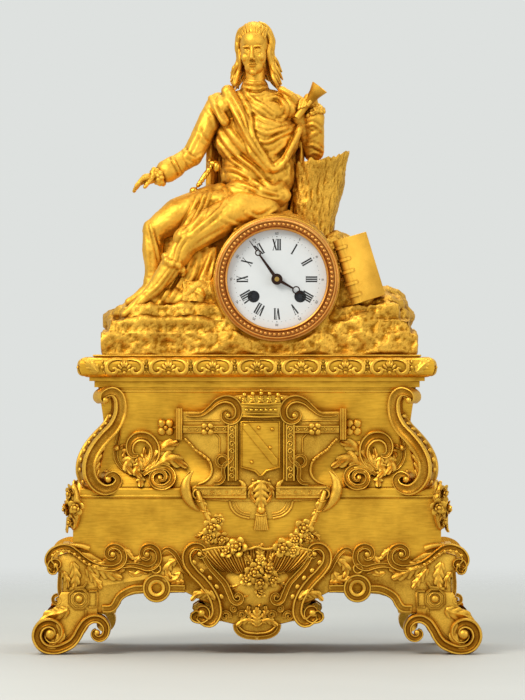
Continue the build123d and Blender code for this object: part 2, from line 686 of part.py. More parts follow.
with BuildPart() as centre_wheel:
    add(disc(AT_CENTRE, 1.2, -56.6, -9.1))
    add(disc(AT_CENTRE, 0.7, -10, BACK_PLATE_Y + PLATE_T))
    add(gear(AT_CENTRE, -40.4, -39.0, CENTRE, M_CENTRE, wheel_phase(AT_CENTRE, AT_THIRD)))
    add(gear(AT_CENTRE, -17.0, -13.0, CENTRE_PINION, M_INTER,
             pinion_phase(AT_INTER, AT_CENTRE, CENTRE_PINION)))
export(centre_wheel, "centre_wheel")

with BuildPart() as cannon_pinion:
    add(disc(AT_CENTRE, CANNON_R, -55.6, -43.3))
    add(gear(AT_CENTRE, -44.7, -43.4, CANNON, M_MINUTE, wheel_phase(AT_CENTRE, AT_MINUTE)))
    add(disc(AT_CENTRE, 1.25, -60, -40), mode=Mode.SUBTRACT)
export(cannon_pinion, "cannon_pinion")

with BuildPart() as minute_wheel:
    add(gear(AT_MINUTE, -44.5, -43.6, MINUTE, M_MINUTE,
             pinion_phase(AT_CENTRE, AT_MINUTE, MINUTE)))
    add(gear(AT_MINUTE, -46.9, -44.5, MINUTE_PINION, M_HOUR,
             pinion_phase(AT_CENTRE, AT_MINUTE, MINUTE_PINION)))
    add(disc(AT_MINUTE, 0.85, -60, -40), mode=Mode.SUBTRACT)
export(minute_wheel, "minute_wheel")

with BuildPart() as hour_wheel:
    add(gear(AT_CENTRE, -46.7, -45.4, HOUR, M_HOUR, wheel_phase(AT_CENTRE, AT_MINUTE)))
    add(disc(AT_CENTRE, HOUR_TUBE_R, -54.0, -45.4))
    add(disc(AT_CENTRE, CANNON_R + 0.1, -60, -40), mode=Mode.SUBTRACT)
export(hour_wheel, "hour_wheel")


def hand(length, ring_at, ring_r, hub_r, hole_r, y_front, angle):
    """A slim hand with an open ring near its tip."""
    plane = Plane(origin=(DIAL_X, y_front + 0.6, DIAL_Z),
                  x_dir=(cos(radians(angle)), 0, sin(radians(angle))), z_dir=(0, -1, 0))
    with BuildPart() as solid:
        with BuildSketch(plane):
            with BuildLine():
                Polyline((0, -1.5), (length, -0.25), (length, 0.25), (0, 1.5), close=True)
            make_face()
            Circle(hub_r)
            with Locations((ring_at, 0)):
                Circle(ring_r)
                Circle(ring_r - 1.0, mode=Mode.SUBTRACT)
            Circle(hole_r, mode=Mode.SUBTRACT)
        extrude(amount=0.6)
    return solid.part


with BuildPart() as minute_hand:
    add(hand(38, 26, 2.6, 4.0, CANNON_R, -55.6, MINUTE_AT))
export(minute_hand, "minute_hand")

with BuildPart() as hour_hand:
    add(hand(24, 17.8, 3.2, 4.5, HOUR_TUBE_R, -54.0, HOUR_AT))
export(hour_hand, "hour_hand")

# ---- going train --------------------------------------------------------------------------
def barrel(point, pinion_at):
    """A spring barrel: a closed drum with the great wheel on its rear rim."""
    with BuildPart() as solid:
        add(disc(point, DRUM_R, DRUM_FRONT, DRUM_BACK))
        add(gear(point, DRUM_BACK, DRUM_BACK + 2, BARREL, M_BARREL,
                 wheel_phase(point, pinion_at)))
        add(disc(point, DRUM_R - 1.2, DRUM_FRONT + 1.2, DRUM_BACK), mode=Mode.SUBTRACT)
        add(disc(point, BARREL_ARBOR_R + PIVOT_PLAY, -60, 0), mode=Mode.SUBTRACT)
    return solid.part


def mainspring(point):
    """The wound spring, drawn as one coiled strip inside the barrel."""
    turns = [(4.6 + 0.95 * k / 12, 30 * k) for k in range(0, 97)]
    with BuildPart() as solid:
        with BuildSketch(at(*point, DRUM_BACK - 0.8)):
            with BuildLine():
                Spline(*[(r * cos(radians(a)), r * sin(radians(a))) for r, a in turns])
            trace(line_width=0.4)
        extrude(amount=DRUM_BACK - 0.8 - (DRUM_FRONT + 2.0))
    return solid.part


def winding_arbor(point):
    """The barrel's arbor: a square for the key, a ratchet, and a core inside the barrel."""
    with BuildPart() as solid:
        add(disc(point, BARREL_ARBOR_R, -47, DRUM_BACK + 2.6))
        add(disc(point, 1.5, DRUM_BACK + 2.6, BACK_PLATE_Y + PLATE_T))
        add(disc(point, 3.6, DRUM_FRONT + 1.8, DRUM_BACK - 0.6))
        add(saw(point, -44.8, -43.3, 24, 4.6, 5.6, 0))
        with Locations(at(*point, -47)):
            Box(3.0, 3.0, 5.5, align=ON_FLOOR)
    return solid.part


with BuildPart() as going_barrel:
    add(barrel(AT_GOING, AT_INTER))
export(going_barrel, "going_barrel")

with BuildPart() as going_mainspring:
    add(mainspring(AT_GOING))
export(going_mainspring, "going_mainspring")

with BuildPart() as going_arbor:
    add(winding_arbor(AT_GOING))
export(going_arbor, "going_arbor")

with BuildPart() as clicks:
    for point, side in ((AT_GOING, 1), (AT_STRIKE, -1)):
        add(disc((point[0] + side * 1.0, point[1] - 9.0), 1.6, -44.6, FRONT_PLATE_Y))
        with BuildSketch(at(*point, -43.4)):
            with BuildLine():
                Polyline((side * 1.6, -10), (side * 2.6, -8.6), (side * 0.4, -5.9),
                         (side * -0.6, -8.6), close=True)
            make_face()
        extrude(amount=1.2)
export(clicks, "clicks")

with BuildPart() as intermediate_wheel:
    add(arbor(AT_INTER, 0.9, 0.6))
    add(gear(AT_INTER, -22, -16, SECOND, M_BARREL, pinion_phase(AT_GOING, AT_INTER, SECOND)))
    add(gear(AT_INTER, -15.6, -14.2, INTER, M_INTER, wheel_phase(AT_INTER, AT_CENTRE)))
export(intermediate_wheel, "intermediate_wheel")

with BuildPart() as third_wheel:
    add(arbor(AT_THIRD, 0.65, 0.45))
    add(gear(AT_THIRD, -40.8, -38.0, THIRD_PINION, M_CENTRE,
             pinion_phase(AT_CENTRE, AT_THIRD, THIRD_PINION)))
    add(gear(AT_THIRD, -34.0, -33.0, THIRD, M_THIRD, wheel_phase(AT_THIRD, AT_ESCAPE)))
export(third_wheel, "third_wheel")

with BuildPart() as escape_wheel:
    add(arbor(AT_ESCAPE, 0.55, 0.4))
    add(gear(AT_ESCAPE, -35.0, -32.0, ESCAPE_PINION, M_THIRD,
             pinion_phase(AT_THIRD, AT_ESCAPE, ESCAPE_PINION)))
    add(saw(AT_ESCAPE, -12.4, -11.4, ESCAPE_TEETH, ESCAPE_R - 1.2, ESCAPE_R, 0))
export(escape_wheel, "escape_wheel")

# ---- escapement and pendulum ---------------------------------------------------------------
COCK_FRONT, COCK_BACK = -4.5, -2.0
with BuildPart() as suspension_cock:
    for side in (-1, 1):
        with Locations((DIAL_X + side * 10, (BACK_PLATE_Y + PLATE_T + COCK_FRONT) / 2,
                        DIAL_Z + ANCHOR_W)):
            Box(5, COCK_FRONT - BACK_PLATE_Y - PLATE_T, 5)
    with Locations((DIAL_X, (COCK_FRONT + COCK_BACK) / 2, DIAL_Z + ANCHOR_W)):
        Box(25, COCK_BACK - COCK_FRONT, 5)
    with Locations((DIAL_X, (COCK_FRONT + COCK_BACK) / 2, DIAL_Z + 38)):
        Box(7, COCK_BACK - COCK_FRONT, 9)
    add(disc(AT_ANCHOR, 0.8, COCK_BACK, PENDULUM_Y + 4))
    add(disc(AT_ANCHOR, 1.8, PENDULUM_Y + 3, PENDULUM_Y + 4))
    add(disc(AT_ANCHOR, 0.5, -6, COCK_BACK - 1.0), mode=Mode.SUBTRACT)
    add(disc(AT_REGULATOR, 0.75, -6, 0), mode=Mode.SUBTRACT)
export(suspension_cock, "suspension_cock")

with BuildPart() as regulation_arbor:
    add(disc(AT_REGULATOR, 0.7, -54, -1.6))
export(regulation_arbor, "regulation_arbor")

CRUTCH_LENGTH = 24.0
with BuildPart() as anchor:
    add(disc(AT_ANCHOR, 0.8, FRONT_PLATE_Y + PLATE_T + 0.1, COCK_FRONT - 0.1))
    add(disc(AT_ANCHOR, 0.45, FRONT_PLATE_Y, COCK_FRONT + 1.0))
    with BuildSketch(at(*AT_ANCHOR, -11.4)):
        Circle(1.8)
        with BuildLine():
            Polyline((0, 1.4), (8.2, -4.2), (8.2, -5.2), (7.0, -6.8), (6.8, -4.6), (0, -0.8),
                     (-6.8, -4.6), (-7.0, -6.8), (-8.2, -5.2), (-8.2, -4.2), close=True)
        make_face()
    extrude(amount=1.2)
    with Locations((DIAL_X, -5.4, DIAL_Z + ANCHOR_W - CRUTCH_LENGTH / 2)):
        Box(1.6, 0.9, CRUTCH_LENGTH)
    with Locations((DIAL_X, -5.4, DIAL_Z + ANCHOR_W - CRUTCH_LENGTH)):
        Box(5.4, 0.9, 2)
    for side in (-1, 1):
        with Locations((DIAL_X + side * 2.1, 0.2, DIAL_Z + ANCHOR_W - CRUTCH_LENGTH)):
            Box(1.2, 12.1, 2)
export(anchor, "anchor")

with BuildPart() as pendulum:
    add(disc((0, ANCHOR_W - PENDULUM_LENGTH), 18.0, PENDULUM_Y - 5, PENDULUM_Y + 5))
    fillet(pendulum.edges().filter_by(GeomType.CIRCLE), 4)
    add(disc(AT_ANCHOR, 2.4, PENDULUM_Y - 1.5, PENDULUM_Y + 1.5))
    with Locations((DIAL_X, PENDULUM_Y, DIAL_Z + ANCHOR_W - PENDULUM_LENGTH / 2 - 12)):
        Cylinder(1.0, PENDULUM_LENGTH + 20)
    with Locations((DIAL_X, PENDULUM_Y, DIAL_Z + ANCHOR_W - PENDULUM_LENGTH - 20)):
        Cylinder(2.6, 3)
    add(disc(AT_ANCHOR, 0.85, -5, 12), mode=Mode.SUBTRACT)
export(pendulum, "pendulum")

# ---- strike train ------------------------------------------------------------------------------
with BuildPart() as strike_barrel:
    add(barrel(AT_STRIKE, AT_SECOND))
export(strike_barrel, "strike_barrel")

with BuildPart() as strike_mainspring:
    add(mainspring(AT_STRIKE))
export(strike_mainspring, "strike_mainspring")

with BuildPart() as strike_arbor:
    add(winding_arbor(AT_STRIKE))
export(strike_arbor, "strike_arbor")

# The count wheel sits behind the back plate: slots further and further apart.
COUNT_R, COUNT_SLOTS = 12.5, 12
with BuildPart() as strike_wheel:
    add(arbor(AT_SECOND, 0.9, 0.6))
    add(disc(AT_SECOND, 0.9, BACK_PLATE_Y - 1, -4.0))
    add(gear(AT_SECOND, -22, -16, SECOND, M_BARREL, pinion_phase(AT_STRIKE, AT_SECOND, SECOND)))
    add(gear(AT_SECOND, -15.6, -14.2, STRIKE_2, M_STRIKE, wheel_phase(AT_SECOND, AT_PIN)))
    add(disc(AT_SECOND, COUNT_R, -6.2, -5.0))
    for hour in range(COUNT_SLOTS):
        turn = 360 * (hour * (hour + 1) / 2 + hour) / 90
        slot = polar(AT_SECOND, COUNT_R, turn)
        with Locations(Location((DIAL_X + slot[0], -5.6, DIAL_Z + slot[1]), (0, -turn, 0))):
            Box(4, 3, 1.0, mode=Mode.SUBTRACT)
export(strike_wheel, "strike_wheel")

with BuildPart() as pin_wheel:
    add(arbor(AT_PIN, 0.85, 0.6))
    add(gear(AT_PIN, -17, -13, PIN_PINION, M_STRIKE,
             pinion_phase(AT_SECOND, AT_PIN, PIN_PINION)))
    add(gear(AT_PIN, -26, -25, PIN, M_PIN, wheel_phase(AT_PIN, AT_WARN)))
    for k in range(10):
        add(disc(polar(AT_PIN, 6.8, 36 * k), 0.4, -28.4, -26))
export(pin_wheel, "pin_wheel")

with BuildPart() as warning_wheel:
    add(arbor(AT_WARN, 0.65, 0.45))
    add(gear(AT_WARN, -27, -24, WARN_PINION, M_PIN, pinion_phase(AT_PIN, AT_WARN, WARN_PINION)))
    add(gear(AT_WARN, -20, -19.2, WARN, M_WARN, wheel_phase(AT_WARN, AT_FLY)))
export(warning_wheel, "warning_wheel")

with BuildPart() as fly:
    add(arbor(AT_FLY, 0.55, 0.4))
    add(gear(AT_FLY, -21.5, -18.2, FLY_PINION, M_WARN, pinion_phase(AT_WARN, AT_FLY, FLY_PINION)))
    with Locations((DIAL_X + AT_FLY[0], -30, DIAL_Z + AT_FLY[1])):
        Box(9, 8, 0.6)
export(fly, "fly")

# ---- bell and hammer -----------------------------------------------------------------------------
BELL_R = 30.0
with BuildPart() as bell:
    with BuildSketch(Plane(origin=(DIAL_X, 40, DIAL_Z + AT_BELL[1]),
                           x_dir=(1, 0, 0), z_dir=(0, 0, 1))):
        with BuildLine():
            outer = Polyline((1.5, 0), (8, 0))
            wall = Spline(outer @ 1, (20, -3), (27, -10), (BELL_R, -21))
            Line(wall @ 1, (BELL_R - 1.8, -21))
            inner = Spline((BELL_R - 1.8, -21), (25.2, -10.6), (19, -4.9), (8, -1.8))
            Polyline(inner @ 1, (1.5, -1.8), (1.5, 0))
        make_face()
    revolve(axis=Axis((DIAL_X, 0, DIAL_Z + AT_BELL[1]), (0, 1, 0)))
export(bell, "bell")

with BuildPart() as bell_stand:
    add(disc(AT_BELL_POST, 3.6, BACK_PLATE_Y + PLATE_T, -4.5))
    add(disc(AT_BELL_POST, 1.8, -4.5, 44))
    with Locations((DIAL_X + 17.5, 42, DIAL_Z - 1)):
        Box(38, 4, 5)
    add(disc(AT_BELL, 1.4, 36, 44))
    add(disc(AT_BELL, 3.0, 35.5, 38))
    add(bell.part, mode=Mode.SUBTRACT)
export(bell_stand, "bell_stand")

HAMMER_HEAD = (-33.4, -14.8)
with BuildPart() as hammer:
    add(disc(AT_HAMMER, 2.0, 20, 25.5))
    add(limb([(DIAL_X + AT_HAMMER[0], 23, DIAL_Z + AT_HAMMER[1]),
              (DIAL_X + HAMMER_HEAD[0], 23, DIAL_Z + HAMMER_HEAD[1])], [0.9, 0.9]))
    add(disc(HAMMER_HEAD, 2.6, 20.5, 25.5))
    add(disc(AT_HAMMER, 1.05, 10, 30), mode=Mode.SUBTRACT)
export(hammer, "hammer")
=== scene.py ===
import math
from random import Random

import bmesh
import bpy
import numpy as np
from mathutils import Matrix, Vector, noise


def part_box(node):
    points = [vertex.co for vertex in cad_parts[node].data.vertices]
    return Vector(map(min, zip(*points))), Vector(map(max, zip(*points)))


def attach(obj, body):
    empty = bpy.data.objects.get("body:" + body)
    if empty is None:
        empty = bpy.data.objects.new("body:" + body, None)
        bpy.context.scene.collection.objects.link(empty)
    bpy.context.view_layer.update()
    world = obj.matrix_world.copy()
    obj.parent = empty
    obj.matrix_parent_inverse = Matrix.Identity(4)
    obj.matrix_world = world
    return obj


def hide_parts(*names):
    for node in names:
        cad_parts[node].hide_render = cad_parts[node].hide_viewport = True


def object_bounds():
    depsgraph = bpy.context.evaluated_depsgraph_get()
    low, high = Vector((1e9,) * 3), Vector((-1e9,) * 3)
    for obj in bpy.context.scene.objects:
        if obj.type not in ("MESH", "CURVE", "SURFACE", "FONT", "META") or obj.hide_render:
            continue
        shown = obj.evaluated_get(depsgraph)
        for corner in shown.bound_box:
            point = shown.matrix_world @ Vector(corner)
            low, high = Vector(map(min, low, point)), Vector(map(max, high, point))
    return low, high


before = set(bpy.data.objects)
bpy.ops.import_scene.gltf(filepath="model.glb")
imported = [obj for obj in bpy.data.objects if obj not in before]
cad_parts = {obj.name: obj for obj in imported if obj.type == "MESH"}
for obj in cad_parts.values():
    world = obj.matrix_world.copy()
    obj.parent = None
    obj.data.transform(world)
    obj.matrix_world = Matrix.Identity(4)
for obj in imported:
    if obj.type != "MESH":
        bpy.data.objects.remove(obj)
cad_low, cad_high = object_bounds()


# ---- the room -----------------------------------------------------------------
# The clock stands on a round sheet of pale paper that fades into a plain pale room.
# The camera looks level at the middle of its height, from far enough away that the
# sides of the case stay out of sight.
def hexcolour(code):
    """A colour written as sRGB hex, turned to the linear values a shader takes."""
    shares = [int(code[i:i + 2], 16) / 255 for i in (1, 3, 5)]
    return tuple(c / 12.92 if c <= 0.04045 else ((c + 0.055) / 1.055) ** 2.4 for c in shares) + (1.0,)


def add_node(tree, kind, settings=None, links=None):
    """Adds one node; a key naming a property sets it, and any other key is an input."""
    node = tree.nodes.new(kind)
    for key, value in (settings or {}).items():
        if isinstance(key, str) and hasattr(node, key):
            setattr(node, key, value)
        else:
            node.inputs[key].default_value = value
    for key, source in (links or {}).items():
        tree.links.new(source, node.inputs[key])
    return node


def new_material(name):
    """An empty material with its output node and the object's own coordinates."""
    material = bpy.data.materials.new(name)
    material.use_nodes = True
    material.node_tree.nodes.clear()
    output = add_node(material.node_tree, "ShaderNodeOutputMaterial")
    place = add_node(material.node_tree, "ShaderNodeTexCoord").outputs["Object"]
    return material, material.node_tree, output, place


CAMERA_REACH = 3.6          # from the front of the clock
HALF_VIEW = 0.280           # half the height seen at that distance
middle = (cad_low + cad_high) / 2
camera = bpy.data.objects.new("camera", bpy.data.cameras.new("camera"))
bpy.context.scene.collection.objects.link(camera)
bpy.context.scene.camera = camera
camera.data.sensor_fit = "VERTICAL"
camera.data.angle = 2 * math.atan(HALF_VIEW / CAMERA_REACH)
camera.location = (0.0044, cad_low.y - CAMERA_REACH, 0.244)
camera.rotation_euler = (math.radians(90), 0, 0)
camera.data.clip_end = 20

PAPER_RADIUS = 1.6
paper, tree, output, place = new_material("matt_white_paper")
paper_grain = add_node(tree, "ShaderNodeTexNoise", {"Scale": 6.0, "Detail": 2.0}, {"Vector": place})
paper_tone = add_node(tree, "ShaderNodeMix", {"data_type": "RGBA", 6: hexcolour("#BBBCB8"),
                                              7: hexcolour("#C1C2BE")}, {0: paper_grain.outputs["Fac"]})
paper_shader = add_node(tree, "ShaderNodeBsdfPrincipled", {"Roughness": 0.7},
                        {"Base Color": paper_tone.outputs[2]})
reach = add_node(tree, "ShaderNodeVectorMath", {"operation": "LENGTH"}, {0: place})
faded = add_node(tree, "ShaderNodeMapRange", {"From Min": 0.45, "From Max": PAPER_RADIUS - 0.1,
                                              "interpolation_type": "SMOOTHSTEP"},
                 {"Value": reach.outputs["Value"]})
clear = add_node(tree, "ShaderNodeBsdfTransparent")
paper_edge = add_node(tree, "ShaderNodeMixShader", {}, {0: faded.outputs[0], 1: paper_shader.outputs[0],
                                                       2: clear.outputs[0]})
tree.links.new(paper_edge.outputs[0], output.inputs[0])
sheet = bmesh.new()
bmesh.ops.create_circle(sheet, cap_ends=True, segments=96, radius=PAPER_RADIUS)
sheet_mesh = bpy.data.meshes.new("floor")
sheet.to_mesh(sheet_mesh)
sheet.free()
floor = bpy.data.objects.new("floor", sheet_mesh)
bpy.context.scene.collection.objects.link(floor)
floor.location.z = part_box("apron_front")[0].z
sheet_mesh.materials.append(paper)

world = bpy.data.worlds.new("studio")
bpy.context.scene.world = world
world.use_nodes = True
world.node_tree.nodes["Background"].inputs[0].default_value = hexcolour("#DEE1DF")
world.node_tree.nodes["Background"].inputs[1].default_value = 1.0
bpy.context.scene.view_settings.view_transform = "Standard"


def softbox(name, at, look, size, watts, tint):
    """A rectangular lamp behind a white cloth, pointed at a spot on the clock."""
    lamp = bpy.data.lights.new(name, "AREA")
    lamp.shape = "RECTANGLE"
    lamp.size, lamp.size_y = size
    lamp.energy = watts
    lamp.color = hexcolour(tint)[:3]
    thing = bpy.data.objects.new(name, lamp)
    bpy.context.scene.collection.objects.link(thing)
    thing.location = at
    thing.rotation_euler = (Vector(look) - Vector(at)).to_track_quat("-Z", "Y").to_euler()


softbox("key", (-0.85, -1.15, 1.30), middle, (0.8, 0.6), 20, "#FFF8EC")
softbox("fill", (1.25, -1.0, 0.70), middle, (0.6, 0.8), 4, "#FFFFFF")
softbox("top", (0.1, 0.35, 1.5), middle, (1.2, 0.7), 7, "#FFFFFF")


# ---- gilt bronze --------------------------------------------------------------
# The case is cast bronze, fire-gilt. Plain fields are burnished and show fine
# brush lines; grounds and cloth are left matt, finely pitted by the acid bath.
# Every finish below is darkened in its hollows and where parts stand close together: painted shade, which
# also stands for some dark patina.
def gilding(name, bright, deep, rough, grain_mm, grain_depth_mm, speckle=0.2, stretch=(1, 1, 1)):
    """Gilt bronze: a warm metal, darkened in its hollows and between parts by painted shade (with some
    patina), with grain of a given size.
    """
    material, tree, output, place = new_material(name)
    shader = add_node(tree, "ShaderNodeBsdfPrincipled", {"Metallic": 1.0})
    turned = add_node(tree, "ShaderNodeMapping", {"Scale": stretch}, {"Vector": place})
    grain = add_node(tree, "ShaderNodeTexNoise", {"Scale": 1000 / grain_mm, "Detail": 3.0},
                     {"Vector": turned.outputs[0]})
    clouds = add_node(tree, "ShaderNodeTexNoise", {"Scale": 1 / 0.022, "Detail": 4.0,
                                                   "Roughness": 0.6}, {"Vector": place})
    # painted shade: the depth of each hollow, kept by cast(), darkens the gilt there, together with some
    # patina
    hollow = add_node(tree, "ShaderNodeAttribute", {"attribute_name": "hollow"})
    worn = add_node(tree, "ShaderNodeMapRange", {"From Min": 0.36, "From Max": 0.72, "To Max": 0.42},
                    {"Value": clouds.outputs["Fac"]})
    pits = add_node(tree, "ShaderNodeMapRange", {"From Min": 0.62, "From Max": 0.36, "To Max": speckle},
                    {"Value": grain.outputs["Fac"]})
    # painted shade: ambient occlusion darkens the gilt in hollows and where parts stand close together
    open_sky = add_node(tree, "ShaderNodeAmbientOcclusion", {"samples": 8, "Distance": 0.005})
    occlusion_shade = add_node(tree, "ShaderNodeMapRange", {"From Min": 0.92, "From Max": 0.35, "To Max": 0.75},
                     {"Value": open_sky.outputs["AO"]})
    stain = add_node(tree, "ShaderNodeMath", {"operation": "ADD"},
                     {0: worn.outputs[0], 1: pits.outputs[0]})
    # random stains and pits, plus painted shade from the depth of each hollow
    stain_and_hollow_shade = add_node(tree, "ShaderNodeMath", {"operation": "MULTIPLY_ADD", 1: 0.6},
                     {0: hollow.outputs["Fac"], 2: stain.outputs[0]})
    depth = add_node(tree, "ShaderNodeMath", {"operation": "ADD", "use_clamp": True},
                     {0: stain_and_hollow_shade.outputs[0], 1: occlusion_shade.outputs[0]})
    tone = add_node(tree, "ShaderNodeMix", {"data_type": "RGBA", 6: hexcolour(bright),
                                            7: hexcolour(deep)}, {0: depth.outputs[0]})
    tree.links.new(tone.outputs[2], shader.inputs["Base Color"])
    smear = add_node(tree, "ShaderNodeTexNoise", {"Scale": 1 / 0.009, "Detail": 3.0},
                     {"Vector": place})
    polish = add_node(tree, "ShaderNodeMapRange", {"To Min": rough[0], "To Max": rough[1]},
                      {"Value": smear.outputs["Fac"]})
    tree.links.new(polish.outputs[0], shader.inputs["Roughness"])
    bump = add_node(tree, "ShaderNodeBump", {"Strength": 1.0, "Distance": grain_depth_mm / 1000},
                    {"Height": grain.outputs["Fac"]})
    tree.links.new(bump.outputs[0], shader.inputs["Normal"])
    tree.links.new(shader.outputs[0], output.inputs[0])
    return material


burnished = gilding("burnished_gilt_bronze", "#F9C244", "#8A5A12", (0.22, 0.38), 0.9, 0.05, 0.1)
brushed = gilding("brushed_gilt_bronze", "#F8BE3E", "#9C6614", (0.28, 0.46), 1.2, 0.06, 0.2,
                  (0.12, 0.12, 1.0))
matt = gilding("matt_gilt_bronze", "#FBC64C", "#946014", (0.36, 0.54), 0.8, 0.14, 0.22)
satin = gilding("satin_gilt_bronze", "#FBC44C", "#A46C16", (0.46, 0.62), 0.7, 0.08, 0.10)
stippled = gilding("stippled_gilt_bronze", "#F2BE4C", "#9C6614", (0.42, 0.60), 1.1, 0.34, 0.30)


def cast(mesh, name, material, *nodes, slot="gilt_bronze", smooth=50):
    """Takes a modelled piece (in mm) to metres, faces it outwards, and sets it on its body of the clock.

    The depth of each hollow is kept as an attribute: how far a point lies below
    the average of its surroundings. The gilding darkens by it, as painted shade with some patina.
    """
    bmesh.ops.recalc_face_normals(mesh, faces=mesh.faces[:])
    bmesh.ops.scale(mesh, vec=(0.001, 0.001, 0.001), verts=mesh.verts[:])
    data = bpy.data.meshes.new(name)
    mesh.to_mesh(data)
    mesh.free()
    count = len(data.vertices)
    points = np.empty(count * 3, np.float32)
    data.vertices.foreach_get("co", points)
    normals = np.empty(count * 3, np.float32)
    data.vertices.foreach_get("normal", normals)
    ends = np.empty(len(data.edges) * 2, np.int32)
    data.edges.foreach_get("vertices", ends)
    points, normals = points.reshape(-1, 3), normals.reshape(-1, 3)
    first, second = ends[::2], ends[1::2]
    degree = np.maximum(np.bincount(ends, minlength=count), 1)[:, None]
    level = points.copy()
    for _ in range(3):
        total = np.zeros_like(level)
        np.add.at(total, first, level[second])
        np.add.at(total, second, level[first])
        level = total / degree
    depth = ((level - points) * normals).sum(axis=1)
    share = np.clip(depth / 0.0003, 0, 1).astype(np.float32)
    data.attributes.new("hollow", "FLOAT", "POINT").data.foreach_set("value", share)
    piece = bpy.data.objects.new(name, data)
    bpy.context.scene.collection.objects.link(piece)
    data.materials.append(material)
    data.shade_smooth()
    data.set_sharp_from_angle(angle=math.radians(smooth))
    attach(piece, "case")
    if nodes:
        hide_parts(*nodes)
    return piece


# ---- plain fields of the case --------------------------------------------------
# The lower plinth, the waisted body and the core of the cornice are plain
# castings, filed flat and brushed along their length before gilding. Thin rails
# run round the foot and the neck of the body.
for name in ("lower_plinth", "upper_body", "cornice"):
    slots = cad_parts[name].data.materials
    slots.clear()
    slots.append(brushed)


def section(points):
    """The cross-section of a swept band, as a closed outline: x across it, y outwards."""
    outline = bpy.data.curves.new("section", "CURVE")
    outline.dimensions = "2D"
    spline = outline.splines.new("POLY")
    spline.points.add(len(points) - 1)
    for point, (x, y) in zip(spline.points, points):
        point.co = (x, y, 0, 1)
    spline.use_cyclic_u = True
    return bpy.data.objects.new("section", outline)


round_bar = section([(0.5 * math.cos(a), 0.5 * math.sin(a))
                     for a in (math.tau * k / 10 for k in range(10))])


def sweep_band(mesh, points, widths, profile, closed=False, straight=False, resolution=6):
    """Sweeps a profile along a smooth path of (x, y[, height]) points, as wide as given at each."""
    path = bpy.data.curves.new("path", "CURVE")
    path.dimensions = "3D"
    path.twist_mode = "Z_UP"
    path.bevel_mode = "OBJECT"
    path.bevel_object = profile
    path.use_fill_caps = True
    path.resolution_u = resolution
    if not isinstance(widths, (tuple, list)):
        widths = [widths] * len(points)
    spline = path.splines.new("POLY" if straight else "BEZIER")
    knots = spline.points if straight else spline.bezier_points
    knots.add(len(points) - 1)
    last = len(points) - 1
    for k, (knot, point) in enumerate(zip(knots, points)):
        x, y, height = (*point, 0)[:3]
        knot.co = (x, y, height, 1) if straight else (x, y, height)
        share = k / last * (len(widths) - 1)
        low = min(int(share), len(widths) - 2)
        knot.radius = widths[low] + (widths[low + 1] - widths[low]) * (share - low)
        if not straight:
            knot.handle_left_type = knot.handle_right_type = "AUTO"
    spline.use_cyclic_u = closed
    holder = bpy.data.objects.new("path", path)
    bpy.context.scene.collection.objects.link(holder)
    data = bpy.data.meshes.new_from_object(
        holder.evaluated_get(bpy.context.evaluated_depsgraph_get()))
    before = len(mesh.verts)
    mesh.from_mesh(data)
    bpy.data.objects.remove(holder)
    bpy.data.curves.remove(path)
    bpy.data.meshes.remove(data)
    mesh.verts.ensure_lookup_table()
    new = mesh.verts[before:]
    bmesh.ops.remove_doubles(mesh, verts=new, dist=1e-4)


def around(half_x, half_y, height):
    """The corners of a rail that runs round the case at one height."""
    return [(half_x, half_y, height), (-half_x, half_y, height),
            (-half_x, -half_y, height), (half_x, -half_y, height)]


def box_of(node):
    """A node's corners in millimetres."""
    low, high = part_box(node)
    return low * 1000, high * 1000


body_low, body_high = box_of("upper_body")
rails = bmesh.new()
sweep_band(rails, around(body_high.x - 0.6, body_high.y - 0.6, body_low.z + 2.2), 3.2, round_bar,
           closed=True, straight=True)
sweep_band(rails, around(body_high.x - 4.4, body_high.y - 4.0, body_low.z + 9.6), 2.2, round_bar,
           closed=True, straight=True)
sweep_band(rails, around(127.4, 48.4, body_high.z - 3.2), 2.4, round_bar, closed=True, straight=True)
cast(rails, "body_rails", burnished)


# ---- feet and aprons -----------------------------------------------------------
# Each apron is one casting with its two feet: a pitted ground, edged with C and S
# scrolls, beads and leaves, and a flat strap along the arches with a screw lug.
LOOK_FRONT = Matrix(((1, 0, 0), (0, 0, -1), (0, 1, 0))).to_4x4()
LOOK_BACK = Matrix.Rotation(math.pi, 4, "Z") @ LOOK_FRONT
LOOK_LEFT = Matrix.Rotation(-math.pi / 2, 4, "Z") @ LOOK_FRONT
LOOK_RIGHT = Matrix.Rotation(math.pi / 2, 4, "Z") @ LOOK_FRONT

# a band with two raised rims and a hollow between them, and a flat strap
channelled = section([(-0.5, -0.45), (0.5, -0.45), (0.5, 0.26), (0.42, 0.38), (0.31, 0.36),
                      (0.23, 0.16), (0, 0.08), (-0.23, 0.16), (-0.31, 0.36), (-0.42, 0.38),
                      (-0.5, 0.26)])
domed = section([(-0.5, -0.4), (0.5, -0.4), (0.5, 0.08), (0.4, 0.26), (0.2, 0.37), (0, 0.4),
                 (-0.2, 0.37), (-0.4, 0.26), (-0.5, 0.08)])
strap = section([(-0.5, -0.5), (0.5, -0.5), (0.5, 0.2), (0.4, 0.34), (0.28, 0.34), (0.24, 0.22),
                 (-0.24, 0.22), (-0.28, 0.34), (-0.4, 0.34), (-0.5, 0.2)])


def volute(eye, radius, start, turns, coil=0.16, steps=8):
    """Points of a spiral from its eye outwards; negative turns run clockwise."""
    count = max(int(abs(turns) * steps), 3)
    points = []
    for k in range(count + 1):
        share = k / count
        angle = math.radians(start) + math.tau * turns * (share - 1)
        r = radius * (coil + (1 - coil) * share)
        points.append((eye[0] + r * math.cos(angle), eye[1] + r * math.sin(angle)))
    return points


def band(mesh, points, height, *form, **options):
    """A swept band along flat points, all at one height above the ground."""
    sweep_band(mesh, [(x, y, height) for x, y in points], *form, **options)


def turned(mesh, outline, centre, axis, steps=40, closed=True):
    """Turns an outline of points round an axis, as on a lathe."""
    wire = [mesh.verts.new(point) for point in outline]
    edges = [mesh.edges.new(pair) for pair in zip(wire, wire[1:] + wire[:closed])]
    bmesh.ops.spin(mesh, geom=wire + edges, cent=centre, axis=axis, angle=math.tau, steps=steps,
                   use_merge=True)


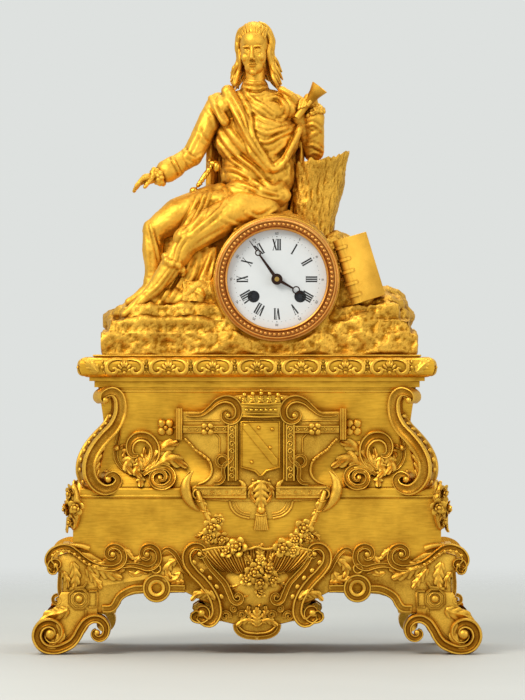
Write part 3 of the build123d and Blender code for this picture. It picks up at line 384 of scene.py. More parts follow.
def solid_plate(mesh, outline, back, front, edge=0.0):
    """A flat plate with the given outline, its front edge rounded over."""
    face = mesh.faces.new([mesh.verts.new((x, y, back)) for x, y in outline])
    grown = bmesh.ops.extrude_face_region(mesh, geom=[face])["geom"]
    verts = [g for g in grown if isinstance(g, bmesh.types.BMVert)]
    bmesh.ops.translate(mesh, verts=verts, vec=(0, 0, front - back))
    if edge:
        rim = [g for g in grown if isinstance(g, bmesh.types.BMEdge)]
        bmesh.ops.bevel(mesh, geom=rim, offset=edge, offset_type="OFFSET", segments=2,
                        profile=0.5, affect="EDGES", material=-1)


def bead(mesh, point, radius, flat=0.7, turn=0.0, long=1.0):
    """A round or pear-shaped bead standing on a band."""
    shape = (Matrix.Translation((point[0], point[1], point[2]))
             @ Matrix.Rotation(math.radians(turn), 4, "Z")
             @ Matrix.Diagonal((radius * long, radius, radius * flat, 1)))
    bmesh.ops.create_icosphere(mesh, subdivisions=2, radius=1, matrix=shape)


def beads_along(mesh, points, radius, height, count, turn=None):
    """A row of beads evenly spaced along a broken line."""
    spans = [math.dist(a, b) for a, b in zip(points, points[1:])]
    total = sum(spans)
    for k in range(count):
        left = total * k / (count - 1)
        for (a, b), span in zip(zip(points, points[1:]), spans):
            if left <= span + 1e-6:
                break
            left -= span
        share = left / span
        place = (a[0] + (b[0] - a[0]) * share, a[1] + (b[1] - a[1]) * share)
        angle = math.degrees(math.atan2(b[1] - a[1], b[0] - a[0]))
        bead(mesh, (*place, height), radius, 0.75, angle, 1.35 if turn else 1.0)


def leaf(mesh, spine, width, height=3.0, lobes=4, curl=0.0, lift=0.0):
    """An acanthus leaf: lobes that point to the tip, a raised rib and a groove between lobes.

    The spine is a line of (x, y) points from stalk to tip; the tip curls outwards.
    """
    made = bmesh.ops.create_grid(mesh, x_segments=6 * lobes + 3, y_segments=12, size=0.5)["verts"]
    knots = [Vector((*p, 0)) for p in spine]

    def on_spine(share):
        knot = max(0.0, min(0.9999, share)) * (len(knots) - 1)
        k = int(knot)
        t = knot - k
        p0, p1 = knots[max(k - 1, 0)], knots[k]
        p2, p3 = knots[min(k + 1, len(knots) - 1)], knots[min(k + 2, len(knots) - 1)]
        bend, flex = 2 * p0 - 5 * p1 + 4 * p2 - p3, 3 * p1 - p0 - 3 * p2 + p3
        point = 0.5 * (2 * p1 + (p2 - p0) * t + bend * t * t + flex * t ** 3)
        slope = 0.5 * ((p2 - p0) + 2 * bend * t + 3 * flex * t * t)
        return point, slope.normalized() if slope.length > 1e-6 else (p2 - p1).normalized()

    for vert in made:
        share, side = vert.co.x + 0.5, abs(vert.co.y * 2)
        phase = (lobes * (share - 0.17 * side) + 0.55) % 1.0
        lobe = math.sin(math.pi * phase ** 1.5)
        envelope = math.sin(math.pi * (0.10 + 0.90 * share) ** 0.9) ** 0.6
        reach = width / 2 * envelope * (1 - 0.30 * (1 - lobe) ** 1.5 * side)
        point, slope = on_spine(share + 0.05 * side * lobe * (1 - share))
        normal = Vector((-slope.y, slope.x, 0))
        pillow = 0.16 * side ** 0.7 * lobe - 0.14 * side * (1 - lobe) ** 3
        rise = 0.10 + 0.42 * (1 - side ** 2) + 0.36 * math.exp(-(side / 0.16) ** 2) + pillow
        z = height * rise * (0.4 + 0.6 * math.sin(math.pi * share) ** 0.5)
        z += curl * max(0.0, share - 0.55) ** 2 / 0.2 + lift
        vert.co = point + normal * reach * vert.co.y * 2 + Vector((0, 0, z))
    faces = list({face for vert in made for face in vert.link_faces})
    bmesh.ops.solidify(mesh, geom=faces, thickness=max(1.0, height * 0.45))


def rosette(mesh, at, radius, petals=6, turn=15.0, height=0.4):
    """An open flower: two rings of cupped petals round a heart, facing along z of its place."""
    if not isinstance(at, Matrix):
        at = Matrix.Translation(at)
    height *= radius
    for ring, (reach, size, rise, tilt) in enumerate(((0.58, 0.47, 0.2, 16), (0.30, 0.27, 0.8, 38))):
        for k in range(petals):
            angle = math.radians(turn + 360 * (k + ring / 2) / petals)
            shape = (at @ Matrix.Translation((radius * reach * math.cos(angle),
                                              radius * reach * math.sin(angle), height * rise))
                     @ Matrix.Rotation(angle, 4, "Z") @ Matrix.Rotation(math.radians(-tilt), 4, "Y")
                     @ Matrix.Diagonal((radius * size, radius * size * 0.86, radius * 0.11, 1)))
            bmesh.ops.create_uvsphere(mesh, u_segments=10, v_segments=6, radius=1, matrix=shape)
    heart = at @ Matrix.Translation((0, 0, height * 1.05)) @ Matrix.Diagonal((radius / 4,) * 3 + (1,))
    bmesh.ops.create_icosphere(mesh, subdivisions=2, radius=1, matrix=heart)


def add_copy(mesh, part, place=None):
    """Adds a copy of a drawn part, moved to its place."""
    data = bpy.data.meshes.new("copy")
    part.to_mesh(data)
    if place:
        data.transform(place)
    mesh.from_mesh(data)
    bpy.data.meshes.remove(data)


def both_halves(mesh):
    """Mirrors a drawing of the right half to the left."""
    bmesh.ops.mirror(mesh, geom=mesh.verts[:] + mesh.edges[:] + mesh.faces[:],
                     matrix=Matrix.Identity(4), merge_dist=1e-5, axis="X")


foot_low = box_of("apron_front")[0]
side_low = box_of("apron_left")[0]
LUG_X, LUG_Z = 80.5, 53.0
APRON_FACE = -foot_low.y - 9          # the apron's ground, behind the face of the feet


def apron_relief():
    """An apron drawn flat, with heights counted from its ground, then set at its place."""
    mesh = bmesh.new()
    ground = [(0, 82), (38, 82), (47, 84), (56, 74), (66, 81), (76, 78), (86, 84), (95, 75),
              (104, 76), (114, 84), (124, 75), (134, 81), (148, 83), (160, 79), (160, 66),
              (156, 60), (156, 50), (157, 38), (150, 31), (128, 33), (113.5, 33), (111.5, 40),
              (105.5, 45.8), (98, 48), (91, 48.6), (88, 59), (73, 59), (70, 49), (57, 49.5),
              (50, 46), (38, 40), (33, 34), (31, 27), (18.6, 24), (16.5, 18.5), (11, 14.4),
              (0, 12.6)]
    mirrored = [(-x, y) for x, y in reversed(ground) if x]
    solid_plate(mesh, ground + mirrored, -8, 0, 1.0)
    half = bmesh.new()
    # the lug with its screw hole
    rim = [(3.9, -8), (3.9, 1.2), (5.0, 2.4), (6.6, 2.4), (7.4, 1.4), (9.2, 1.4), (9.8, 2.6),
           (10.9, 2.6), (11.5, 1.6), (11.5, -8)]
    turned(half, [(LUG_X + r, LUG_Z, h) for r, h in rim], (LUG_X, LUG_Z, 0), (0, 0, 1))
    # flat strap along the arch, either side of the lug
    for line in ([(91.5, 52.6), (99, 52), (106, 49), (110.5, 45.5), (114, 39.5), (116.5, 37), (124, 36.2)],
                 [(69.5, 52.8), (64, 52.8), (58, 52.6)]):
        band(half, line, 0, 6.6, strap)
    # the foot: a deep scroll from its great eye, under the sole, to the inner curl
    great = volute((165.5, 16.6), 12.4, 275, -1.35, 0.12)
    rise = [(151, 7.6), (145.5, 12.5), (141.2, 20), (136, 26.6), (129, 28.8), (122.6, 25.4),
            (120.8, 18.6), (124.2, 13.4), (129.2, 13.6), (131, 17.4), (128.6, 19.4)]
    deep_band = section([(-0.5, -2.5), (0.5, -2.5), (0.5, 0.30), (0.40, 0.44), (0.28, 0.42),
                         (0.2, 0.2), (0, 0.12), (-0.2, 0.2), (-0.28, 0.42), (-0.40, 0.44),
                         (-0.5, 0.30)])
    face = 5.2
    band(half, great + rise, face, [2.6, 6.0, 8.6, 8.8, 8.4, 7.6, 7.0, 5.6, 3.6], deep_band, resolution=5)
    bead(half, (165.5, 16.6, face + 1.5), 4.4, 0.8)
    bead(half, (128.2, 17.6, face), 2.6, 0.9)
    solid_plate(half, [(157, 50), (159.5, 46), (162, 36), (171, 28), (172, 12), (160, 6), (152, 7),
                       (146, 14), (139, 25), (128, 29), (127, 50)], -14, 1.6, 1.0)
    sole = [(176.2, 13), (171, 4.2), (165, 1.2), (158, 1.2), (152, 4.4), (148.5, 8)]
    band(half, sole, -4, [4, 2.6, 2.6, 4], deep_band)
    # acanthus wrapped round the great volute, and fine leaf over the shaft
    leaf(half, [(151, 36), (158, 33), (167, 31), (174, 25)], 11, 3.2, 4, 2, 2.6)
    leaf(half, [(168, 5), (160, 10), (157, 18), (160, 26)], 8, 2.4, 3, 1, 6)
    leaf(half, [(148, 74), (146, 66), (145.6, 58), (147, 52)], 9, 3.0, 4, 1.5, 0.6)
    leaf(half, [(156, 66), (152.5, 60), (152, 52)], 6, 2.6, 3, 1, 0.4)
    # outer edge of the shaft, with its small curl
    band(half, [(157.6, 67), (158.4, 58), (158.2, 50), (157.6, 47.5)], 0, 3.4, channelled)
    band(half, volute((160.0, 43.4), 4.4, 95, 1.25, 0.15), 1, [1.6, 2.4, 3.2], channelled)
    # raised strap frame round the octagonal boss
    octagon = [(142.7 + 8.6 * math.cos(math.radians(a)), 44.4 + 8.6 * math.sin(math.radians(a)))
               for a in range(22, 382, 45)]
    band(half, octagon, 1.8, 2.2, strap, closed=True, straight=True)
    bead(half, (142.7, 44.4, 2.6), 3.2, 0.6)
    band(half, volute((142.7, 44.4), 4.9, 0, 1.0, 0.98), 2.0, 1.3, round_bar)
    for line in ([(134.6, 50.6), (128.6, 50.6), (128.6, 38.0), (134.8, 38.0)],
                 [(137.2, 35.6), (137.2, 31), (142, 26.6), (148, 17), (153, 12.6)],
                 [(150.2, 52.6), (139, 54.2), (136.4, 58)]):
        band(half, line, 2.0, 2.1, strap, straight=True)
    # corner scroll with its beaded back, running into the first C scroll
    corner = volute((161.2, 71.2), 5.0, 250, -1.15, 0.12)[:-1]
    back = [(167.0, 74.6), (165.4, 80.6), (160, 84.6), (152, 85.6), (145.5, 82), (138.4, 76.2),
            (130, 71.4), (121, 69.4), (113.4, 69.8), (107.6, 74), (107.0, 81), (111.4, 86),
            (117.6, 86), (120.6, 81.8), (118.8, 77.6), (114.6, 77.8), (114.2, 80.8)]
    band(half, corner + back, 1.2, [2.0, 4.2, 7.4, 7.2, 6.0, 5.4, 5.4, 5.2, 4.4, 2.4], channelled)
    beads_along(half, [(163.8, 79.4), (159.6, 82.4), (152.4, 83.4), (146, 80.2), (138.6, 74.4),
                       (130, 69.8)], 1.45, 3.4, 9)
    bead(half, (161.4, 71.4, 2.4), 2.2, 0.8)
    band(half, [(150, 87), (142, 86.6), (134.5, 84.6)], -2, 4.4, domed)
    # second C scroll, with a small inner curl, and the low link between them
    second = [(108, 70.5), (101, 71.6), (94, 70.6), (86.6, 69), (80.6, 72.4), (78.8, 79),
              (81.6, 85), (87.8, 86.6), (92.2, 82.8), (91.2, 78), (87.4, 77), (85.8, 79.8)]
    band(half, second, 1.0, [3.4, 4.6, 5.2, 5.2, 5.0, 4.2, 2.2], channelled)
    link = [(107, 84), (102.5, 80), (98.5, 76.6), (95.4, 77.6)]
    band(half, link, 0.4, [4.2, 3.4, 2.2], domed)
    bead(half, (115.6, 80.2, 2.2), 2.4, 0.8)
    bead(half, (88.2, 80.2, 2.0), 2.2, 0.8)
    # ringed boss, the stem towards the middle, and its leaf
    band(half, volute((81.0, 68.6), 3.6, 0, 1.0, 0.98), 1.0, 1.6, round_bar)
    stem = [(78, 80), (72.4, 84.4), (67.2, 82), (62.2, 75), (58, 67.4), (52, 62.4)]
    band(half, stem, 0.8, [2.0, 4.0, 4.4, 3.6, 2.2], channelled)
    leaf(half, [(61, 66), (64, 61), (70, 59), (76, 62)], 9, 3, 3, 1.5, 0)
    leaf(half, [(64, 76), (70, 72), (72, 66), (69, 61)], 8, 3, 3, 1.5, 0)
    leaf(half, [(58, 58), (64, 57.6), (70, 57.8)], 5, 2.4, 3, 0.6, 0.4)
    # leaves under the beaded band
    leaf(half, [(136, 71), (127, 69), (118, 65), (108, 60.6)], 13, 3.6, 5, 2.4, 0.2)
    leaf(half, [(137, 69), (132, 63), (127.6, 57), (124.6, 52.4)], 8, 3.0, 4, 1.6, 0.2)
    leaf(half, [(120, 66), (112, 66), (106, 69)], 6, 2.4, 3, 1.0, 0.6)
    leaf(half, [(98, 72), (94, 77), (88, 76)], 5, 2.0, 3, 0.8, 0.6)
    leaf(half, [(103, 66), (98, 64), (92, 66), (87, 65)], 5, 2.0, 3, 0.8, 0)
    leaf(half, [(112, 83), (104, 82), (100, 78)], 5, 2.0, 3, 0.8, 0.4)
    # the great S scroll beside the shell, open at the top and rolled up under the arch
    side = volute((44.6, 33.6), 6.6, 20, 1.3, 0.14)[:-1]
    grand = [(38.4, 25.6), (33.2, 30.4), (32.6, 39), (36.4, 49), (43.4, 58.6), (51.4, 67),
             (56.2, 75.6), (54.6, 83.8), (48.2, 86.8), (42.8, 83.4), (43.6, 78.8), (47.2, 79)]
    band(half, side + grand, 3.0, [2.0, 4.6, 6.4, 7.6, 8.6, 9.0, 8.4, 6.4, 3.0], channelled)
    bead(half, (44.4, 33.2, 4.0), 3.3, 0.9)
    bead(half, (46.0, 80.6, 4.6), 2.2, 0.9)
    band(half, side + grand[:4], -1, [2, 5, 6, 5], deep_band)
    leaf(half, [(33, 44), (40, 49), (48, 48), (53, 43)], 8, 3, 4, 2.6, 4.2)
    # inner beaded band that frames the bowl of the shell
    inner = [(43, 79), (38, 70.6), (31.6, 63.4), (25.6, 56.4), (22.0, 48.4), (19.0, 42.6),
             (14.6, 41.6), (12.4, 45.2), (15.2, 48.2), (17.6, 46)]
    band(half, inner, 3.4, [4.0, 4.6, 5.0, 5.0, 4.4, 3.6, 2.4], channelled)
    beads_along(half, [(50.0, 74.0), (44.8, 68.2), (37.6, 61.6), (31.8, 54), (28.4, 46.6)], 1.7,
                5.8, 5, turn=True)
    # scrolls and palmette of the drop in the middle
    for eye, r, start, turn in (((25.6, 30.6), 4.2, 200, 1.2), ((11.8, 31.6), 3.4, 340, -1.2),
                                ((18.4, 36.4), 2.8, 120, 1.1)):
        band(half, volute(eye, r, start, turn, 0.18), 2.2, [1.4, 2.4, 2.8], channelled)
    leaf(half, [(3, 26), (8, 27.4), (13, 25.6), (16.6, 22)], 6, 2.4, 3, 1.2, 1.4)
    leaf(half, [(4, 29), (7, 34), (6.4, 39)], 5.4, 2.4, 3, 1.2, 1.6)
    leaf(half, [(28, 27), (31, 31), (29, 36)], 4.4, 2.2, 3, 1.0, 1.0)
    lip = [(18.0, 24.2), (16.4, 18.8), (11.2, 14.8), (0, 13.0)]
    band(half, lip, 1.0, 3.4, strap)
    band(half, [(15.2, 22.6), (9.8, 18.2), (0, 16.6)], 0.8, 1.8, round_bar)
    both_halves(half)
    add_copy(mesh, half)
    half.free()
    leaf(mesh, [(0, 22), (0, 27), (0, 32), (0, 38)], 10, 3.4, 5, 1.6, 1.6)
    bmesh.ops.translate(mesh, vec=(0, 0, APRON_FACE), verts=mesh.verts[:])
    return mesh


for look, side in ((LOOK_FRONT, "front"), (LOOK_BACK, "back")):
    apron = apron_relief()
    bmesh.ops.transform(apron, matrix=look, verts=apron.verts[:])
    cast(apron, f"apron_and_{side}_feet", matt, "apron_" + side)


def side_relief():
    """A side apron: a shaped ground with one C scroll and leaf to each side of a palmette."""
    mesh = bmesh.new()
    outline = [(0, 83), (20, 85), (32, 81), (44, 85), (49, 82), (49, 34), (39, 33.4), (33, 42),
               (24, 47), (14, 47), (9, 40), (0, 35)]
    solid_plate(mesh, outline + [(-x, y) for x, y in reversed(outline) if x], -8, 0, 1.0)
    half = bmesh.new()
    scroll = [(38, 66), (44, 68), (45.4, 75), (40.6, 81.6), (31, 83), (22.4, 79.6), (16, 72.6),
              (14.4, 64.4), (18, 58.4), (23.6, 59.2), (24.6, 64), (21.4, 65.2)]
    band(half, scroll, 1.2, [2.4, 5, 6, 6, 5.2, 4, 2.2], channelled)
    beads_along(half, [(41, 78), (31, 80.6), (23.6, 77)], 1.3, 3.2, 5)
    leaf(half, [(38, 64), (33, 58), (34, 50), (40, 46)], 10, 3.2, 4, 2, 0.2)
    leaf(half, [(28, 74), (31, 67), (29, 58)], 8, 2.8, 4, 1.4, 0.2)
    edge = [(44, 37), (38, 37.4), (32, 44.6), (24, 50), (13, 50)]
    band(half, edge, 0, 5.4, strap)
    leaf(half, [(2, 52), (8, 58), (9, 66), (5, 72)], 7, 2.8, 4, 1.4, 0.6)
    both_halves(half)
    add_copy(mesh, half)
    half.free()
    leaf(mesh, [(0, 38), (0, 50), (0, 62), (0, 76)], 12, 4, 5, 2, 0.8)
    bmesh.ops.translate(mesh, vec=(0, 0, -side_low.x), verts=mesh.verts[:])
    return mesh


for look, node in ((LOOK_LEFT, "apron_left"), (LOOK_RIGHT, "apron_right")):
    side_apron = side_relief()
    bmesh.ops.transform(side_apron, matrix=look, verts=side_apron.verts[:])
    cast(side_apron, "side_" + node, matt, node)


# ---- shell bowl ----------------------------------------------------------------
# A fluted scallop bowl is screwed to the middle of the front apron. Its wall is
# fluted like a shell, hollow in the middle, over a smooth bulging belly.
shell_low = box_of("centre_shell")[0]
BOWL_FACE = -shell_low.y - 3.5
bowl = bmesh.new()
flutes = bmesh.ops.create_grid(bowl, x_segments=180, y_segments=14, size=0.5)["verts"]
for vert in flutes:
    across, up = vert.co.x * 2, vert.co.y + 0.5
    half = 27 + 19 * up ** 0.8
    rim = 85.2 - 2.2 * abs(across) ** 2 + 1.1 * math.cos(across * 9.4)
    flute = 0.55 * math.cos(math.tau * across * 16)
    hollow = 5.0 * math.exp(-(across / 0.34) ** 4) + 0.8
    vert.co = (half * across, 66 + (rim - 66) * up,
               BOWL_FACE + flute - hollow * (0.25 + 0.75 * up) + 1.0 * up * up)
faces = list({face for vert in flutes for face in vert.link_faces})
bmesh.ops.solidify(bowl, geom=faces, thickness=2.4)
belly = bmesh.ops.create_grid(bowl, x_segments=44, y_segments=36, size=0.5)["verts"]
for vert in belly:
    across, up = vert.co.x * 2, vert.co.y + 0.5
    half = 8 + 27 * up ** 0.75
    bulge = (1 - across ** 2) ** 0.5 * (math.sin(math.pi * (0.15 + 0.75 * up)) ** 0.7)
    vert.co = (half * across, 38 + 30 * up, BOWL_FACE - 7 + 5.4 * bulge)
faces = list({face for vert in belly for face in vert.link_faces})
bmesh.ops.solidify(bowl, geom=faces, thickness=2.4)
lip = [(-44, 83.4), (-30, 85.8), (-15, 85.4), (-6, 84.6), (0, 86.2), (6, 84.6), (15, 85.4), (30, 85.8),
       (44, 83.4)]
band(bowl, lip, BOWL_FACE - 0.6, 2.2, round_bar)
bmesh.ops.transform(bowl, matrix=LOOK_FRONT, verts=bowl.verts[:])
cast(bowl, "scallop_bowl", matt, "centre_shell")


# ---- cornice frieze ------------------------------------------------------------
# The cushion of the cornice carries a cast frieze: palmettes framed by paired
# C scrolls, a budding flower between each pair, and a leaf folded over each corner.
cornice_high = box_of("cornice")[1]
FRIEZE_PITCH = 35.5
FRIEZE_MIDDLE = 230.0
motif = bmesh.new()
frame_half = [(2.2, 236.6), (7.0, 237.0), (12.2, 235.0), (14.6, 230.6), (13.2, 226.2), (9.2, 224.6),
              (6.4, 226.6), (7.0, 229.2), (9.4, 229.0)]
band(motif, frame_half, 0.3, [2.0, 3.0, 3.6, 3.8, 3.4, 2.8, 2.0], domed, resolution=4)
for angle, reach, size in ((24, 7.6, 2.5), (50, 9.0, 2.7), (74, 9.8, 2.7)):
    a = math.radians(angle)
    bead(motif, (reach * 0.62 * math.cos(a), 225.6 + reach * 0.72 * math.sin(a), 0.3), size / 2, 0.9, angle,
         2.0)
bead(motif, (FRIEZE_PITCH / 2 - 2.2, 233.6, 0.2), 1.1, 0.9, 115, 2.2)
bead(motif, (FRIEZE_PITCH / 2 - 1.6, 226.0, 0.2), 0.9, 0.9, 60, 2.0)
both_halves(motif)
bead(motif, (0, 225.6, 0.8), 1.7, 0.9)
bead(motif, (0, 233.2, 0.4), 1.2, 0.9, 90, 2.4)
for x in (-FRIEZE_PITCH / 2, FRIEZE_PITCH / 2):
    bead(motif, (x, 230, 0.8), 1.5, 0.9)
    bead(motif, (x, 235.2, 0.2), 0.9, 0.9, 90, 2.0)
frieze = bmesh.new()
for look, half_length, count in ((LOOK_FRONT, cornice_high.x, 7), (LOOK_BACK, cornice_high.x, 7),
                                 (LOOK_LEFT, cornice_high.y, 3), (LOOK_RIGHT, cornice_high.y, 3)):
    strip = bmesh.new()
    for k in range(count):
        add_copy(strip, motif, Matrix.Translation(((k - (count - 1) / 2) * FRIEZE_PITCH, 0, 0)))
    end = half_length - 1
    for sign in (1, -1):
        leaf(strip, [(sign * (end - 14), 225.5), (sign * (end - 9), 231), (sign * (end - 4), 234.5),
                     (sign * end, 236)], 9, 1.8, 4, 0.6, -0.6)
    face_out = cornice_high.y if half_length == cornice_high.x else cornice_high.x
    for vert in strip.verts:
        fall = min(1.0, abs(vert.co.y - FRIEZE_MIDDLE) / 8.0)
        past = max(0.0, (abs(vert.co.x) - (half_length - 7)) / 7)
        vert.co.z += face_out + 0.7 - 7 * (1 - math.sqrt(1 - min(1.0, fall) ** 3 * 0.92)) - 5.0 * past ** 2
    add_copy(frieze, strip, look)
    strip.free()
motif.free()
for sx, sy in ((1, 1), (1, -1), (-1, 1), (-1, -1)):
    corner_leaf = bmesh.new()
    leaf(corner_leaf, [(0, 222.8), (0, 229), (0, 234.5), (0, 238.4)], 10, 2.2, 4, -4.0, 0)
    for vert in corner_leaf.verts:
        fall = min(1.0, abs(vert.co.y - FRIEZE_MIDDLE) / 8.6)
        vert.co.z += -0.9 - 6 * (1 - math.sqrt(1 - fall ** 3 * 0.92)) - abs(vert.co.x) * 0.75
    turn = Matrix.Rotation(math.atan2(sy, sx) + math.pi / 2, 4, "Z")
    place = Matrix.Translation((sx * (cornice_high.x - 2.6), sy * (cornice_high.y - 2.6), 0))
    add_copy(frieze, corner_leaf, place @ turn @ LOOK_FRONT)
    corner_leaf.free()
for half_x, half_y, z, thick in ((130.4, 52.4, 221.2, 1.8), (131.6, 53.6, 239.4, 1.8)):
    sweep_band(frieze, around(half_x, half_y, z), thick, round_bar, closed=True, straight=True)
cast(frieze, "cornice_frieze", matt)


# ---- corner consoles -----------------------------------------------------------
# An S scroll stands on each corner of the case, broad at the foot and rolled up
# at both ends, with rimmed cheeks and a row of beads down its back.
def eased_line(path, sizes, shares):
    """A smooth curve through points, each with its size, taken at shares of every span."""
    path = [Vector(point) for point in path]
    line = []
    for k in range(len(path) - 1):
        p0, p1, p2, p3 = path[max(k - 1, 0)], path[k], path[k + 1], path[min(k + 2, len(path) - 1)]
        for t in shares:
            point = 0.5 * (2 * p1 + (p2 - p0) * t + (2 * p0 - 5 * p1 + 4 * p2 - p3) * t * t
                           + (3 * p1 - p0 - 3 * p2 + p3) * t ** 3)
            line.append((point, sizes[k] + (sizes[k + 1] - sizes[k]) * t))
    line.append((path[-1], sizes[-1]))
    return line


def skin_over(mesh, rings):
    """Faces between rings of points, and a cap at each end."""
    for ring, following in zip(rings, rings[1:]):
        for k in range(len(ring)):
            n = (k + 1) % len(ring)
            mesh.faces.new((ring[k], ring[n], following[n], following[k]))
    mesh.faces.new(rings[0])
    mesh.faces.new(reversed(rings[-1]))


def ribbon(mesh, path, thickness, half_width, outline):
    """A scroll of constant width: an outline in shares of thickness and width, swept along x, y."""
    smooth = eased_line(path, thickness, (0, 0.2, 0.4, 0.6, 0.8))
    rings = []
    for k, (point, thick) in enumerate(smooth):
        ahead = smooth[min(k + 1, len(smooth) - 1)][0] - smooth[max(k - 1, 0)][0]
        normal = Vector((-ahead.y, ahead.x)).normalized()
        width = half_width * (0.72 + 0.28 * min(1.0, thick / max(thickness)))
        rings.append([mesh.verts.new((point.x + normal.x * a * thick, point.y + normal.y * a * thick,
                                      b * width)) for a, b in outline])
    skin_over(mesh, rings)
    return smooth


cheek = [(0.5, 0.80), (0.44, 0.98), (0.34, 1.0), (0.27, 0.86), (0, 0.80), (-0.27, 0.86), (-0.34, 1.0),
         (-0.44, 0.98), (-0.5, 0.80)]
console_outline = cheek + [(-0.5, -0.3)] + [(a, -b) for a, b in reversed(cheek)] + [
    (0.5, -0.62), (0.38, -0.50), (0.36, 0.0), (0.38, 0.50), (0.5, 0.62)]
CONSOLE_PATH = [(124.4, 202.2), (127.0, 204.6), (125.6, 208.6), (119.4, 210.6), (114.4, 206.6),
                (112.8, 199), (113.8, 190.6), (118.3, 181.6), (125.8, 173.6), (132.6, 164.8),
                (137.2, 154.4), (137.4, 144), (132.8, 135.6), (125.2, 131.6), (117.6, 134),
                (114.8, 139.8), (118.6, 144.2), (123.4, 142.4), (123.4, 138.6)]
CONSOLE_THICK = [3, 4.6, 6.6, 8.2, 9.6, 10.2, 10.4, 10.6, 10.6, 10.8, 11, 11, 10.4, 9.4, 8.2, 6.8, 5.4, 4,
                 2.6]
CONSOLE_TURN = math.radians(27)
console = bmesh.new()
flat_path = [((x - 112) / math.cos(CONSOLE_TURN), y) for x, y in CONSOLE_PATH]
line = ribbon(console, flat_path, CONSOLE_THICK, 8.6, console_outline)
walked = 3.0
for (before, _), (point, thick), (after, _) in zip(line, line[1:], line[2:]):
    walked += (point - before).length
    if 190 > point.y > 140 or point.y > 204:
        if walked > 6.4:
            walked = 0
            ahead = (after - before).normalized()
            place = point + Vector((-ahead.y, ahead.x)) * thick * 0.42
            bead(console, (place.x, place.y, 0), 2.5 - 0.5 * (point.y < 150), 1.0)
for eye in ((flat_path[0][0] + 0.5, 203.6), (flat_path[-1][0] - 0.6, 140.0)):
    for side in (1, -1):
        bead(console, (*eye, side * 6.8), 2.9, 0.8)
leaf(console, [(flat_path[12][0] - 4, 139), (flat_path[11][0] - 8, 150), (flat_path[10][0] - 11, 162),
               (flat_path[9][0] - 14, 172)], 9, 2.2, 5, 0.8, -1.0)
for node, sy in (("front_consoles", -1), ("back_consoles", 1)):
    pair = bmesh.new()
    for sx in (-1, 1):
        out = Matrix.Translation((sx * 112, sy * 47.5, 0))
        along = Vector((sx * math.cos(CONSOLE_TURN), sy * math.sin(CONSOLE_TURN), 0))
        cross = Vector((-sx * math.sin(CONSOLE_TURN), sy * math.cos(CONSOLE_TURN), 0))
        basis = Matrix((along, (0, 0, 1), cross)).transposed().to_4x4()
        add_copy(pair, console, out @ basis)
    cast(pair, node + "_scrolls", matt, node)
console.free()


# ---- flower drops --------------------------------------------------------------
# A drop of three open flowers and pointed leaves hangs under each console.
chance = Random(4)
drops = bmesh.new()
drop_high = box_of("flower_drops")[1]
for sx in (-1, 1):
    for sy in (-1, 1):
        x, y = sx * (drop_high.x - 11), sy * (drop_high.y - 8)
        for dx, z, size, facing in ((0, 130, 7.6, 60), (-5, 119, 7.2, 20), (5.5, 117, 7.0, 105),
                                    (0, 107, 6.2, 55)):
            direction = Vector((sx * math.sin(math.radians(facing)), sy * math.cos(math.radians(facing)),
                                -0.25)).normalized()
            spot = Vector((x + sx * dx * 0.6, y + sy * (4 - dx * 0.5), z)) + direction * 1.5
            place = Matrix.Translation(spot) @ direction.to_track_quat("Z", "Y").to_matrix().to_4x4()
            rosette(drops, place, size, 5, chance.uniform(0, 72), 0.5)
        for k in range(9):
            angle = chance.uniform(-1.2, 1.2) + math.atan2(sy, sx)
            direction = Vector((math.cos(angle), math.sin(angle), 0))
            hang = bmesh.new()
            leaf(hang, [(0, 0), (chance.uniform(-2, 2), -4), (chance.uniform(-4, 4), -8),
                        (chance.uniform(-4, 4), -11)], 5.4, 1.6, 3, 1.2, 3.0)
            spot = Vector((x, y, 0)) + direction * 2 + Vector((0, 0, chance.uniform(107, 137)))
            turn = Matrix.Rotation(angle + math.pi / 2, 4, "Z") @ LOOK_FRONT
            add_copy(drops, hang, Matrix.Translation(spot) @ turn)
            hang.free()
        core = Matrix.Translation((x, y, 118)) @ Matrix.Diagonal((5.5, 5.5, 19, 1))
        bmesh.ops.create_icosphere(drops, subdivisions=3, radius=1, matrix=core)
cast(drops, "hanging_flower_drops", matt, "flower_drops")


# ---- cartouche -----------------------------------------------------------------
# The strapwork cartouche stands proud of the waist and hangs over the plinth. It
# is one casting, with raised straps, scrolls and rosettes on a pitted ground.
card_low = box_of("cartouche")[0]
CARD_X = 3.3
CARD_FACE = -card_low.y - 3.0
card = bmesh.new()
edge = [(0, 208), (-15.6, 208), (-24, 207), (-32.9, 205.4), (-40.3, 198.6), (-48.9, 194.6),
        (-63, 194.6), (-68.6, 196.4), (-68.6, 172.4), (-60.3, 172.4), (-52.9, 164), (-45.6, 158.4),
        (-40.6, 152), (-39.8, 145.3), (-43.2, 139.3), (-50.9, 135.6), (-56, 134), (-56, 124.7),
        (-50.9, 123.6), (-27.0, 122)]
drop = [(-22.3, 113.8), (-12.9, 108.3), (0, 107.4)]
for points, back, top in ((edge, 44, CARD_FACE), ([(-27, 124)] + drop, 50, CARD_FACE - 0.3)):
    outline = points + [(-x, y) for x, y in reversed(points) if x]
    solid_plate(card, outline, back - CARD_FACE, top - CARD_FACE, 0.8)
half = bmesh.new()
